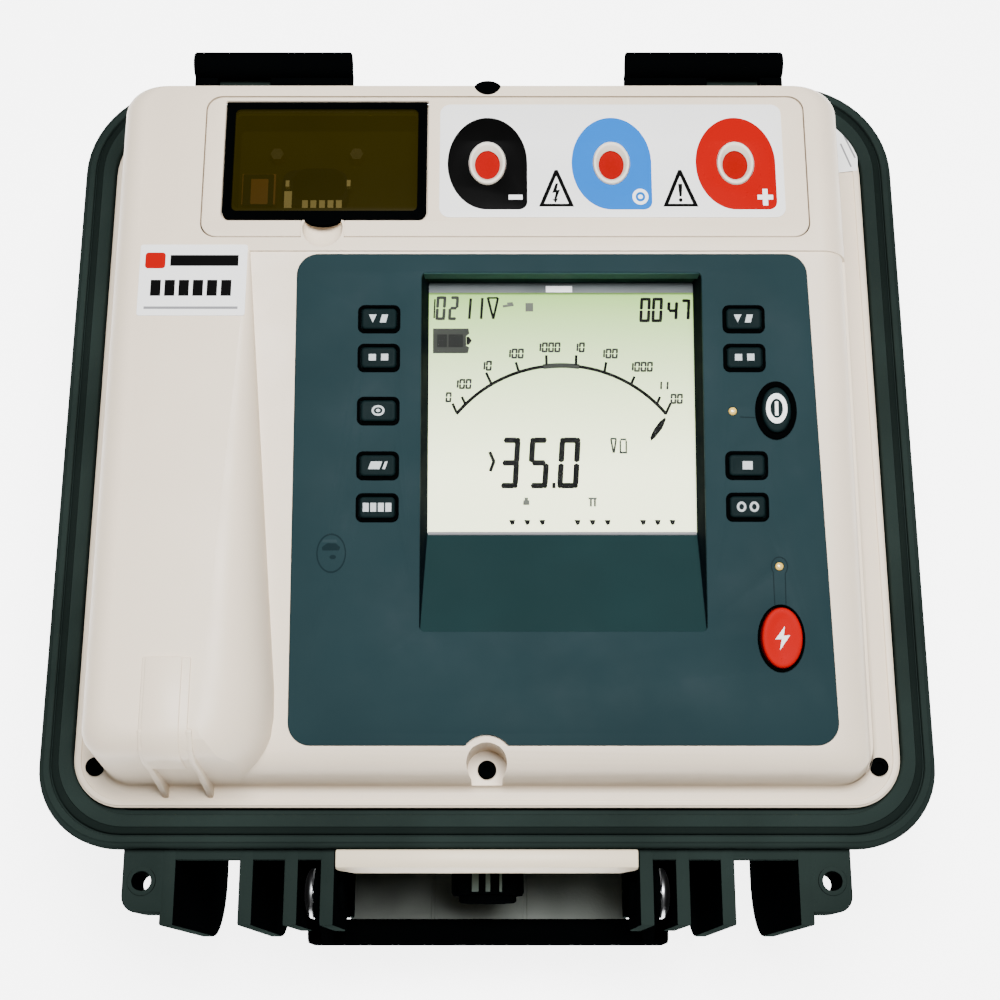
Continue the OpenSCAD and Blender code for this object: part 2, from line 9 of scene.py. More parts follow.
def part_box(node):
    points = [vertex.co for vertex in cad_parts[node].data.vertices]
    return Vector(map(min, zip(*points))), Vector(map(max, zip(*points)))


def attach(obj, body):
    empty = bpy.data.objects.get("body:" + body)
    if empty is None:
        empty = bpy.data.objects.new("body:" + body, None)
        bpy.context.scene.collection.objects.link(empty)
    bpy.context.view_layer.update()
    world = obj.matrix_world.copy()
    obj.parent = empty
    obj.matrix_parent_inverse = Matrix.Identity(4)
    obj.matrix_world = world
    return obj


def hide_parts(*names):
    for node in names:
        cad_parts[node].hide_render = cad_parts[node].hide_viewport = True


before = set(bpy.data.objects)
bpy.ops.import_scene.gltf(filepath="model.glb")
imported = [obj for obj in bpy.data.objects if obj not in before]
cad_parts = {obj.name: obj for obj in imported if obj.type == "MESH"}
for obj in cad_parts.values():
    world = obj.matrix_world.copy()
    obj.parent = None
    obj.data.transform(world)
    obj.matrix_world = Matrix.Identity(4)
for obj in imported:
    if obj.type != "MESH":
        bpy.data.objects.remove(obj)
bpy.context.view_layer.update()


def cosd(angle):
    return cos(radians(angle))


def sind(angle):
    return sin(radians(angle))


# ---- frame: all sizes below are millimetres in the case's or the tilted panel's own axes ----

SEAL_DEPTH = 0.3
STRIP_H = 48.0
TILT = radians(8.553)
TILT_Y = 57.6
HALF_W = 165.0
HALF_D = 156.0
CORNER_FRONT = 30.0
CORNER_BACK = 40.0
OVERLAY_X = (-70.5, 122.5)
OVERLAY_L = 181.5
OPENING_X = (-24.3, 79.4)
DISPLAY_V = (-141.0, -8.0)
GLASS_X = (-22.2, 77.8)
GLASS_V = (-104.2, -9.6)
GLASS_TOP = -8.3
DISPLAY_DEPTH = 13.0
TERM_Y = 93.4
PITCH = 46.75
SOCKET_X = (0, PITCH, 2 * PITCH)
OVAL_X = 105.7
POWER_V = -60.2
TEST_V = -143.4
KEY_SIZE = (12.8, 7.8)
LEFT_KEY_X = -39.8
RIGHT_KEY_X = 94.6
LEFT_KEYS = (-25.9, -40.5, -60.4, -80.7, -96.1)
RIGHT_KEYS = (-25.9, -40.5, -80.6, -95.9)
LEDS = ((90.0, -60.4), (105.7, -117.5))
COVER_X = (-99.3, -22.8)
COVER_Y = (70.4, 119.8)
COVER_PIVOT = (118.85, 47.25)
TAB_X = -61.4
THUMB_Y = 66.6
RIB_X = (58.05, 71.25, 87.6, 115.85)
RIB_T = 5.2
PIVOT = (-170.5, -25.0)
VALVE_Z = -45.0
KNUCKLE = (165.2, -1)
SHELF_Z = -96
FLOOR_GLOW = 5.0
EMBLEM = (-56.3, -112.7)
SCREWS = ((-144, -126.6), (144, -126.6), (0, -127.8), (-112, 138.6), (112, 138.6), (0, 128.2))

seal_low, seal_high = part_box("flange_seal")
CASE_Y = (seal_low.y + seal_high.y) / 2
FLANGE_TOP = seal_high.z + SEAL_DEPTH / 1000
CASE = Matrix.Translation((0, CASE_Y, FLANGE_TOP)) @ Matrix.Scale(0.001, 4)
PANEL = CASE @ Matrix.Translation((0, TILT_Y, STRIP_H - 1)) @ Matrix.Rotation(TILT, 4, "X")


# ---- materials ----

def sockets(material):
    return material.node_tree.nodes["Principled BSDF"].inputs


def new_material(name, colour, roughness, metallic=0.0, coat=0.0, alpha=1.0, specular=0.5):
    """A Principled material; the node helpers below add its grain, dirt and bump."""
    material = bpy.data.materials.new(name)
    material.use_nodes = True
    settings = {"Base Color": (*colour, 1), "Roughness": roughness, "Metallic": metallic,
                "Coat Weight": coat, "Coat Roughness": 0.15, "Alpha": alpha, "Specular IOR Level": specular}
    for key, value in settings.items():
        sockets(material)[key].default_value = value
    return material


def node(material, kind, **values):
    made = material.node_tree.nodes.new(kind)
    for key, value in values.items():
        if hasattr(made, key):
            setattr(made, key, value)
        else:
            made.inputs[key.replace("_", " ")].default_value = value
    return made


def link(material, source, target):
    material.node_tree.links.new(source, target)


def object_noise(material, scale, detail=3.0, rough=0.55):
    """Noise in object space, so that it stays still on the object."""
    place = node(material, "ShaderNodeTexCoord")
    noise = node(material, "ShaderNodeTexNoise", Scale=scale, Detail=detail, Roughness=rough)
    link(material, place.outputs["Object"], noise.inputs["Vector"])
    return noise.outputs["Fac"]


def add_bump(material, scale, strength, distance, detail=3.0):
    bump = node(material, "ShaderNodeBump", Strength=strength, Distance=distance)
    link(material, object_noise(material, scale, detail), bump.inputs["Height"])
    link(material, bump.outputs["Normal"], sockets(material)["Normal"])


def add_tint(material, colour_a, colour_b, scale, low=0.35, high=0.65):
    """Slow colour drift between two close colours."""
    ramp = node(material, "ShaderNodeValToRGB")
    for stop, place, colour in zip(ramp.color_ramp.elements, (low, high), (colour_a, colour_b)):
        stop.position = place
        stop.color = (*colour, 1)
    link(material, object_noise(material, scale), ramp.inputs["Fac"])
    link(material, ramp.outputs["Color"], sockets(material)["Base Color"])


def add_rough(material, low, high, scale):
    """Roughness that wanders between two values, like handling marks."""
    spread = node(material, "ShaderNodeMapRange", From_Min=0.3, From_Max=0.7, To_Min=low, To_Max=high)
    link(material, object_noise(material, scale, 5.0), spread.inputs["Value"])
    link(material, spread.outputs["Result"], sockets(material)["Roughness"])


def moulded(name, colour, drift, roughness, grain=900, bump=0.12, specular=0.5, **more):
    """Moulded plastic: fine spark-eroded grain, slow tint, handling marks in the gloss."""
    material = new_material(name, colour, roughness, specular=specular, **more)
    darker = tuple(c * (1 - drift) for c in colour)
    lighter = tuple(min(1, c * (1 + drift)) for c in colour)
    add_tint(material, darker, lighter, 14)
    add_rough(material, roughness * 0.85, roughness * 1.2, 45)
    add_bump(material, grain, bump, 0.0003)
    return material


def metal(name, colour, roughness, grain=600):
    material = new_material(name, colour, roughness, metallic=1.0)
    add_tint(material, tuple(c * 0.85 for c in colour), colour, 80)
    add_bump(material, grain, 0.15, 0.0001)
    return material


def gradient_material(name, low_colour, high_colour, low_y, high_y, roughness, glow):
    """A lit colour that runs from one tone to another along the object's own Y."""
    material = new_material(name, low_colour, roughness, specular=0.05)
    place = node(material, "ShaderNodeTexCoord")
    split = node(material, "ShaderNodeSeparateXYZ")
    spread = node(material, "ShaderNodeMapRange", From_Min=low_y, From_Max=high_y)
    ramp = node(material, "ShaderNodeValToRGB")
    ramp.color_ramp.elements[0].color = (*low_colour, 1)
    ramp.color_ramp.elements[1].color = (*high_colour, 1)
    link(material, place.outputs["Object"], split.inputs["Vector"])
    link(material, split.outputs["Y"], spread.inputs["Value"])
    link(material, spread.outputs["Result"], ramp.inputs["Fac"])
    shader = material.node_tree.nodes["Principled BSDF"]
    link(material, ramp.outputs["Color"], shader.inputs["Base Color"])
    link(material, ramp.outputs["Color"], shader.inputs["Emission Color"])
    shader.inputs["Emission Strength"].default_value = glow
    return material


# key, name, colour, colour drift, roughness, grain scale, grain height, specular level
MOULDED = (
    ("case", "case_black", (0.0125, 0.0190, 0.0170), 0.18, 0.5, 1400, 0.25, 0.0),
    # the row below paints the valve knob's lit flutes as lighter bars: painted highlight
    ("case_edge", "case_worn_edge", (0.050, 0.065, 0.058), 0.18, 0.5, 1400, 0.25, 0.0),
    # the row below paints the case's own black plastic a lighter grey for the shelf's lit top: painted light
    ("shelf", "shelf_worn", (0.20, 0.22, 0.20), 0.35, 0.6, 900, 0.3, 0.0),
    ("cream", "panel_cream", (0.72, 0.610, 0.475), 0.02, 0.42, 1600, 0.10, 0.3),
    ("cream_trim", "trim_cream", (0.74, 0.63, 0.46), 0.03, 0.40, 1600, 0.10, 0.3),
    ("teal", "overlay_teal", (0.0100, 0.0235, 0.0272), 0.06, 0.6, 2200, 0.10, 0.03),
    # the row below is a darker teal for the overlay's grooves: painted shade
    ("teal_dark", "overlay_groove", (0.0045, 0.0125, 0.0150), 0.06, 0.6, 2200, 0.10, 0.03),
    ("teal_light", "overlay_glint", (0.0150, 0.0290, 0.0330), 0.06, 0.6, 2200, 0.10, 0.03),
    ("surround", "surround_teal", (0.0080, 0.0210, 0.0220), 0.08, 0.8, 2000, 0.08, 0.02),
    # the row below is a darker teal for the display recess's side walls: painted shade
    ("surround_side", "surround_side", (0.0014, 0.0036, 0.0052), 0.08, 0.8, 2000, 0.08, 0.02),
    ("black", "black_plastic", (0.0016, 0.0018, 0.0018), 0.15, 0.4, 1500, 0.12, 0.06),
    ("bezel", "bezel_black", (0.0006, 0.0008, 0.0009), 0.15, 0.6, 1500, 0.12, 0.0),
    ("rubber", "seal_rubber", (0.0060, 0.0092, 0.0082), 0.15, 0.7, 900, 0.25, 0.0),
    ("label", "label_white", (0.80, 0.80, 0.79), 0.012, 0.35, 2500, 0.04, 0.2),
    ("ring", "ring_white", (0.72, 0.66, 0.56), 0.03, 0.36, 1800, 0.05, 0.2),
    ("red_disc", "shutter_red", (0.25, 0.0002, 0.0002), 0.08, 0.5, 1500, 0.06, 0.03),
    ("test_red", "test_red", (0.34, 0.001, 0.001), 0.03, 0.5, 2200, 0.06, 0.03),
    ("key", "key_grey", (0.0032, 0.0085, 0.0092), 0.1, 0.6, 2200, 0.10, 0.03),
    ("print_black", "print_black", (0.0010, 0.0010, 0.0010), 0.1, 0.45, 2500, 0.03, 0.03),
    ("print_blue", "print_blue", (0.0, 0.12, 0.46), 0.03, 0.5, 2500, 0.03, 0.02),
    ("print_red", "print_red", (0.31, 0.0001, 0.0001), 0.03, 0.5, 2500, 0.03, 0.02),
    ("print_white", "print_white", (0.84, 0.85, 0.86), 0.02, 0.4, 2500, 0.03, 0.2),
    ("key_print", "key_print", (0.42, 0.46, 0.47), 0.04, 0.4, 2500, 0.03, 0.1),
    # the row below is a lighter teal for the display opening's back wall: painted light on a wall that
    # stands in shade
    ("lintel", "lintel_teal", (0.034, 0.078, 0.084), 0.06, 0.6, 2200, 0.10, 0.03),
    ("shell", "plated_shell", (0.60, 0.45, 0.14), 0.15, 0.4, 900, 0.08, 0.2),
    ("print_grey", "print_grey", (0.20, 0.20, 0.21), 0.04, 0.4, 2500, 0.03, 0.1),
    ("segment", "lcd_segment", (0.0010, 0.0012, 0.0010), 0.1, 0.6, 2500, 0.02, 0.02),
    ("segment_soft", "lcd_soft", (0.030, 0.034, 0.028), 0.1, 0.6, 2500, 0.02, 0.02),
    ("segment_cell", "lcd_cell_mark", (0.009, 0.010, 0.009), 0.1, 0.6, 2500, 0.02, 0.02),
    ("segment_faint", "lcd_faint", (0.10, 0.11, 0.09), 0.05, 0.6, 2500, 0.02, 0.02),
    ("cell_edge", "lcd_metal_edge", (0.045, 0.058, 0.060), 0.35, 0.4, 500, 0.05, 0.2),
    ("tray", "tray_brown", (0.024, 0.0165, 0.0012), 0.10, 0.7, 900, 0.1, 0.03),
    ("orange", "port_orange", (0.20, 0.072, 0.012), 0.1, 0.4, 900, 0.12, 0.2),
    ("board", "board_green", (0.02, 0.13, 0.045), 0.15, 0.4, 900, 0.12, 0.5),
    ("battery", "battery_wrap", (0.04, 0.05, 0.062), 0.15, 0.35, 900, 0.12, 0.5),
    ("potting", "potting_grey", (0.06, 0.065, 0.07), 0.12, 0.5, 900, 0.12, 0.5),
    ("lead", "lead_red", (0.30, 0.015, 0.015), 0.1, 0.45, 900, 0.12, 0.5),
    ("backlight", "backlight", (0.88, 0.90, 0.84), 0.02, 0.5, 900, 0.12, 0.5),
)
MAT = {key: moulded(*row) for key, *row in MOULDED}
MAT.update({
    "amber": moulded("led_amber", (0.62, 0.42, 0.10), 0.08, 0.22, grain=1200, bump=0.05, coat=0.6),
    "window": moulded("window_clear", (0.010, 0.012, 0.010), 0.02, 0.08, grain=300, bump=0.01, alpha=0.03,
                      specular=0.1),
    "smoked": moulded("cover_smoked", (0.018, 0.0140, 0.0004), 0.10, 0.3, grain=300, bump=0.01, alpha=0.45,
                      specular=0.03),
    "brass": metal("brass", (0.80, 0.62, 0.30), 0.25),
    "gold": metal("gold_pins", (0.93, 0.72, 0.30), 0.2),
    "steel": metal("plated_steel", (0.50, 0.51, 0.52), 0.28),
    "supply": metal("folded_sheet", (0.62, 0.63, 0.65), 0.35),
})


# ---- mesh helpers ----

def placed(name, data):
    """A new object for the data, linked into the scene."""
    made = bpy.data.objects.new(name, data)
    bpy.context.scene.collection.objects.link(made)
    return made


def mesh_of(scratch):
    """The object's evaluated mesh; the object is used up."""
    graph = bpy.context.evaluated_depsgraph_get()
    graph.update()
    out = bpy.data.meshes.new_from_object(scratch.evaluated_get(graph))
    bpy.data.objects.remove(scratch)
    return out


def add_object(name, mesh, matrix, material, body="tester", replaces=()):
    mesh.transform(matrix)
    mesh.materials.clear()
    mesh.materials.append(MAT[material])
    made = placed(name, mesh)
    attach(made, body)
    if replaces:
        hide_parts(*replaces)
    return made


def paint_side_shade(made, material, back_limit=1.0):
    """Faces turned to the left or the right, as far back as the limit, take a second material, a darker one
    that paints shade on the side walls.
    """
    made.data.materials.append(MAT[material])
    for face in made.data.polygons:
        if abs(face.normal.x) > 0.5 and face.center.y < back_limit:
            face.material_index = 1


def shade(mesh, angle=35):
    """Smooth shading that keeps edges sharper than the angle."""
    bm = bmesh.new()
    bm.from_mesh(mesh)
    for face in bm.faces:
        face.smooth = True
    limit = radians(angle)
    for edge in bm.edges:
        edge.smooth = len(edge.link_faces) == 2 and edge.calc_face_angle(0) < limit
    bm.to_mesh(mesh)
    bm.free()
    return mesh


def mesh_from(verts, faces, name="shape"):
    mesh = bpy.data.meshes.new(name)
    mesh.from_pydata([tuple(v) for v in verts], [], faces)
    bm = bmesh.new()
    bm.from_mesh(mesh)
    bmesh.ops.recalc_face_normals(bm, faces=bm.faces)
    bm.to_mesh(mesh)
    bm.free()
    return mesh


def joined(*meshes):
    """One mesh from several, which are used up."""
    bm = bmesh.new()
    for mesh in meshes:
        bm.from_mesh(mesh)
        bpy.data.meshes.remove(mesh)
    out = bpy.data.meshes.new("joined")
    bm.to_mesh(out)
    bm.free()
    return out


def moved(mesh, x=0.0, y=0.0, z=0.0, spin=0.0):
    mesh.transform(Matrix.Translation((x, y, z)) @ Matrix.Rotation(spin, 4, "Z"))
    return mesh


def baked(mesh, *modifiers):
    """The mesh with (kind, settings) modifiers applied."""
    scratch = placed("scratch", mesh)
    for kind, settings in modifiers:
        modifier = scratch.modifiers.new(kind.lower(), kind)
        for key, value in settings.items():
            setattr(modifier, key, value)
    out = mesh_of(scratch)
    bpy.data.meshes.remove(mesh)
    return out


def bevelled(mesh, width, segments=3, angle=30):
    return baked(mesh, ("BEVEL", {"width": width, "segments": segments, "limit_method": "ANGLE",
                                  "angle_limit": radians(angle), "miter_outer": "MITER_ARC"}))


def cut(mesh, *tools, mode="DIFFERENCE"):
    """Boolean of the mesh with each tool mesh in turn."""
    for tool in tools:
        other = placed("tool", tool)
        mesh = baked(mesh, ("BOOLEAN", {"object": other, "operation": mode, "solver": "EXACT"}))
        bpy.data.objects.remove(other)
        bpy.data.meshes.remove(tool)
    return mesh


def arc(cx, cy, r, start, steps=10):
    return [(cx + r * cos(a), cy + r * sin(a))
            for a in (radians(start + 90 * i / steps) for i in range(steps + 1))]


def rounded(x, y, half_w, half_l, *radii):
    """A rounded rectangle about a centre."""
    return outline(x - half_w, x + half_w, y - half_l, y + half_l, *radii)


def outline(x0, x1, y0, y1, front, back=None, steps=10):
    """Rounded rectangle, counter-clockwise, with its own front and back corner radii."""
    back = front if back is None else back
    return (arc(x1 - front, y0 + front, front, -90, steps) + arc(x1 - back, y1 - back, back, 0, steps)
            + arc(x0 + back, y1 - back, back, 90, steps) + arc(x0 + front, y0 + front, front, 180, steps))


def ellipse(a, b, steps=48, cx=0.0, cy=0.0):
    return [(cx + a * cos(2 * pi * i / steps), cy + b * sin(2 * pi * i / steps))
            for i in range(steps)]


def loft(rings, close_first=True, close_last=True):
    """A skin over equal-length rings of 3-D points."""
    count = len(rings[0])
    verts = [p for ring in rings for p in ring]
    faces = []
    for k in range(len(rings) - 1):
        for i in range(count):
            j = (i + 1) % count
            faces.append((k * count + i, k * count + j, (k + 1) * count + j, (k + 1) * count + i))
    if close_first:
        faces.append(tuple(range(count)))
    if close_last:
        faces.append(tuple((len(rings) - 1) * count + i for i in range(count)))
    return mesh_from(verts, faces)


def at_height(points, z):
    return [(x, y, z) for x, y in points]


def prism(points, z0, z1):
    return loft([at_height(points, z0), at_height(points, z1)])


def plate(points, holes, z0, z1, edge=0.0, steps=2):
    """A flat plate with holes and a rounded edge, filled as a 2-D curve."""
    curve = bpy.data.curves.new("plate", "CURVE")
    curve.dimensions = "2D"
    curve.fill_mode = "BOTH"
    for loop in [points, *holes]:
        spline = curve.splines.new("POLY")
        spline.points.add(len(loop) - 1)
        for point, (x, y) in zip(spline.points, loop):
            point.co = (x, y, 0, 1)
        spline.use_cyclic_u = True
    curve.bevel_depth = edge
    curve.bevel_resolution = steps
    curve.offset = -edge
    curve.extrude = (z1 - z0) / 2 - edge
    mesh = mesh_of(placed("plate", curve))
    bpy.data.curves.remove(curve)
    bm = bmesh.new()
    bm.from_mesh(mesh)
    bmesh.ops.remove_doubles(bm, verts=bm.verts, dist=0.002)
    bmesh.ops.recalc_face_normals(bm, faces=bm.faces)
    bm.to_mesh(mesh)
    bm.free()
    mesh.transform(Matrix.Translation((0, 0, (z0 + z1) / 2)))
    return mesh


def turned(profile, steps=48, axis="Z"):
    """A solid of revolution from (radius, height) pairs, closed at both ends."""
    rings = [[(r * cos(2 * pi * i / steps), r * sin(2 * pi * i / steps), h)
              for i in range(steps)] for r, h in profile]
    mesh = loft(rings)
    if axis == "X":
        mesh.transform(Matrix.Rotation(pi / 2, 4, "Y"))
    if axis == "-Y":
        mesh.transform(Matrix.Rotation(pi / 2, 4, "X"))
    return mesh


def side_prism(points_yz, x0, x1):
    """A prism along X from an outline in the Y-Z plane."""
    return loft([[(x, y, z) for y, z in points_yz] for x in (x0, x1)])


def box_mesh(x0, x1, y0, y1, z0, z1):
    return prism([(x0, y0), (x1, y0), (x1, y1), (x0, y1)], z0, z1)


def bar(p, q, width):
    """Four corners of a straight stroke from p to q."""
    (ax, ay), (bx, by) = p, q
    length = hypot(bx - ax, by - ay)
    nx, ny = -(by - ay) / length * width / 2, (bx - ax) / length * width / 2
    return [(ax - nx, ay - ny), (bx - nx, by - ny), (bx + nx, by + ny), (ax + nx, ay + ny)]


# ---- case ----

def case_ring(inset, z, front=None, back=None):
    """The flange's outline moved in by "inset", at a height."""
    front = max(CORNER_FRONT - inset, 4) if front is None else front
    back = max(CORNER_BACK - inset, 4) if back is None else back
    return at_height(outline(-HALF_W + inset, HALF_W - inset, -HALF_D + inset, HALF_D - inset,
                             front, back, 14), z)


def wall_inset(z):
    """How far the drafted outer wall stands inside the flange's edge at a height."""
    return 7.0 + 9.0 * (-9.0 - z) / 120.0


def rib_outline(beside_handle):
    """Side view of a front rib; the two beside the handle are set back at the foot."""
    centre, reach = (-152, 24.5) if beside_handle else (-158, 26)
    sweep = [(centre + reach * cosd(a), -96 + 30 * sind(a))
             for a in range(270, 179, -10)]
    set_back = [(-176.5, -64), (-183, -60)] if beside_handle else []
    return [(-146, -6), (-142, -126), *sweep, *set_back, (-183, -6)]


def make_case():
    inner = [(16.0, -60.0), (14.0, -11.0), (14.0, -5.4), (12.2, -5.4), (12.2, -1.0), (11.9, -0.35),
             (11.3, -0.05)]
    groove = [(7.6, 0.0), (7.55, -0.15), (7.5, -0.5), (7.5, -2.0), (4.3, -2.0), (4.3, -0.5), (4.2, -0.2),
              (4.0, 0.0)]
    lip = [(2.2, 0.0), (1.9, -0.5), (1.5, -0.8), (1.2, -0.9), (0.9, -1.1), (0.45, -1.5),
           (0.12, -2.2), (0.0, -3.2), (0.0, -8.0), (0.15, -8.9), (0.6, -9.6), (1.4, -10.0), (5.8, -10.0)]
    wall = [(wall_inset(z) + dx, z) for dx, z in
            [(-0.6, -10.4), (0.0, -11.2), (0.0, -38.0), (0.9, -39.2), (0.9, -52.0), (0.0, -53.2),
             (0.0, -100.0), (0.0, -122.0), (0.8, -126.0), (2.4, -128.2), (4.6, -128.98)]]
    floor = [(16.0, -129.0), (120.0, -129.0)]
    rings = []
    for inset, z in inner + groove + lip + wall + floor:
        front = max(CORNER_FRONT - inset * 0.6, 3) if inset < 60 else 3
        back = max(CORNER_BACK - inset * 0.9, 3) if inset < 60 else 3
        rings.append(case_ring(inset, z, front, back))
    shell = loft(rings, close_first=False)
    shade(shell, 38)
    parts = [shell]
    for side in (-1, 1):
        for x in RIB_X:
            rib = side_prism(rib_outline(x < 80), side * x - RIB_T / 2, side * x + RIB_T / 2)
            parts.append(bevelled(rib, 0.8, 2))
        rail = box_mesh(*sorted((side * 55.45, side * 132.45)), -159.8, -145.8, -9.8, -6.2)
        parts.append(bevelled(rail, 0.7, 2))
        corner = [(6 + 6 * cosd(a), -172.5 + 6 * sind(a)) for a in range(180, 271, 15)]
        lug = [(side * (-132.7 + x), y) for x, y in [(17, -146), (0, -146), *corner, (17, -178.5)]]
        hole = ellipse(3.5, 3.5, 32, side * -125.5, -167.3)
        parts.append(plate(lug, [hole], -28, -6.12, 0.8))
        parts.append(plate(ellipse(5.2, 5.2, 32, side * -125.5, -167.3), [hole], -6.4, -5.6, 0.2))
    # the front shelf is drawn lighter than the case it belongs to: painted light on its lit top
    shelf = [bevelled(box_mesh(x0, x1, -177.6, -142, SHELF_Z - 4, SHELF_Z), 0.6, 2)
             for x0, x1 in ((-57, -23.6), (-22.4, 14.4), (15.6, 57))]
    shelf.append(box_mesh(-57, 57, -177.2, -142.4, SHELF_Z - 4, SHELF_Z - 0.6))
    add_object("front_shelf", joined(*shelf), CASE, "shelf")
    # strengthening bands along the sides and the back, below the flange
    for x in (-95, -48, 0, 48, 95):
        top = 156 - 6.6
        profile = [(top - 2, -10), (top + 4.2, -10), (top + 4.2, -22), (top - 1, -34)]
        parts.append(bevelled(side_prism(profile, x - 2, x + 2), 0.6, 2))
    for side in (-1, 1):
        for y in (-100, -50, 0, 50, 100):
            inner_x = side * (165 - 9)
            outer_x = side * (165 - 2.6)
            rib = prism([(inner_x, y - 2), (outer_x, y - 2), (outer_x, y + 2), (inner_x, y + 2)], -24, -9.9)
            parts.append(bevelled(rib, 0.6, 2))
    case = joined(*parts)
    shade(case, 40)
    made = add_object("case_shell", case, CASE, "case", replaces=("case_base",))
    # the front's side-facing faces take the darker bezel black: painted shade on the ribs, lugs and walls
    paint_side_shade(made, "bezel", CASE_Y - (HALF_D - 8) / 1000)


def make_seal():
    section = [(4.95, -1.9), (4.95, -0.65), (5.15, -0.3), (5.6, -0.14), (7.0, -0.12), (7.45, -0.16),
               (7.45, -1.9)]
    rings = [case_ring(i, z, CORNER_FRONT - i * 0.6, CORNER_BACK - i * 0.9) for i, z in section]
    seal = loft([*rings, rings[0]], close_first=False, close_last=False)
    add_object("flange_seal_cord", shade(seal, 60), CASE, "rubber", replaces=("flange_seal",))


# ---- instrument panel ----

def hump_top():
    """The panel body's outline rolling over from its drafted sides to its flat top."""
    rings = []
    for a in range(0, 91, 10):
        z = STRIP_H - 9 + 9 * sind(a)
        draft = (STRIP_H - z) / 50.2
        roll = 1 - cosd(a)
        loop = outline(-139 - 3 * draft + 9 * roll, 132.7 + 9.3 * draft - 8.2 * roll,
                       -128 - 6 * draft + 9 * roll, 127.4 + 6.6 * draft - 0.9 * roll, 10, 10, 12)
        rings.append(at_height(loop, z))
    return rings


def control_area_cut():
    """Everything above the tilted control area, its rolled right and front edges and the hump's flank."""
    slope = tan(TILT)
    stations = []
    for y, dip, pull in ((-200.0, 30.0, 17.0), (-133.5, 16.0, 17.0), (-132.5, 10.0, 15.0),
                         (-131.5, 6.0, 13.0), (-130.0, 3.2, 10.6), (-128.0, 1.4, 8.2), (-126.0, 0.5, 6.2),
                         (-123.5, 0.0, 4.4), (-119.0, 0.0, 2.2), (-112.0, 0.0, 0.7), (-103.0, 0.0, 0.0),
                         (TILT_Y, 0.0, 0.0)):
        plane = STRIP_H - 1 + slope * (y - TILT_Y)
        foot = plane - dip
        drop = STRIP_H - plane
        top_x = -88.5 - 0.36 * drop - pull
        foot_x = -88.5 + 0.5 * drop - pull
        flank = [(top_x + (foot_x - top_x) * sind(a),
                  foot + (drop + dip) * cosd(a)) for a in range(0, 91, 6)]
        edge = 133.2 + drop * 9.3 / 50.2
        right = [(124.5 + (edge - 124.5) * sind(a), foot - 9 * (1 - cosd(a)))
                 for a in range(0, 91, 10)]
        section = [(top_x, 90.0), *flank, *right, (260.0, foot - 9), (260.0, 90.0)]
        stations.append([(x, y, z) for x, z in section])
    return loft(stations)


def overlay_outline(grow=0.0):
    (x0, x1), r = OVERLAY_X, 8 + grow
    return (arc(x1 - 4.9, -OVERLAY_L + 8, r, -90) + arc(x1 - 12, -9, r, 0)
            + arc(x0 + 8, -9, r, 90) + arc(x0 + 7.6, -OVERLAY_L + 8, r, 180))


def screw_radius(x, y):
    if x:
        return 5.6
    return 7.3 if y < 0 else 5.5


def make_panel():
    body = loft([at_height(outline(-142, 142, -134, 134, 13, 13, 12), -2.2), *hump_top()])
    body = cut(body, control_area_cut())
    body = bevelled(body, 1.6, 4, 22)
    tools = [turned([(r, -1.99), (r, 80)], 32) for r in (screw_radius(x, y) for x, y in SCREWS)]
    for tool, (x, y) in zip(tools, SCREWS):
        moved(tool, x, y)
    seat = prism(outline(-107.2, 120.5, 63.0, 122.2, 6), 20, 60)
    tongue = box_mesh(TAB_X - 8.0, TAB_X + 8.0, 55, 69.6, 15, 65)
    tools.append(cut(seat, tongue))
    tools.append(moved(turned([(7.5, 42.6), (7.5, 60)], 48), TAB_X, THUMB_Y))
    tools.append(box_mesh(TAB_X - 7.5, TAB_X + 7.5, THUMB_Y, THUMB_Y + 6.8, 42.6, 60))
    tools.append(box_mesh(-5.6, 5.6, -160, -127.8, -1.95, 80))
    local = Matrix.Translation((0, TILT_Y, STRIP_H - 1)) @ Matrix.Rotation(TILT, 4, "X")
    recess = prism(overlay_outline(0.15), -1.25, 20)
    recess.transform(local)
    pocket = prism(outline(OVERLAY_X[0] + 5, OVERLAY_X[1] - 5, -OVERLAY_L + 16, -4.6, 4), -22, 5)
    pocket.transform(local)
    body = cut(body, *tools, recess, pocket)
    shade(body, 30)
    return body


def strap_profile(lift):
    """Side view of the strap pad, which follows the panel's rolled front edge."""
    roll = [(-119 - (10.2 + lift) * sind(a), 38.9 + (9.1 + lift) * cosd(a))
            for a in range(0, 91, 10)]
    return [(-95.4, 45), (-95.4, 48 + lift), *roll, (-130.4 - lift, 30), (-127, 30), (-118, 44)]


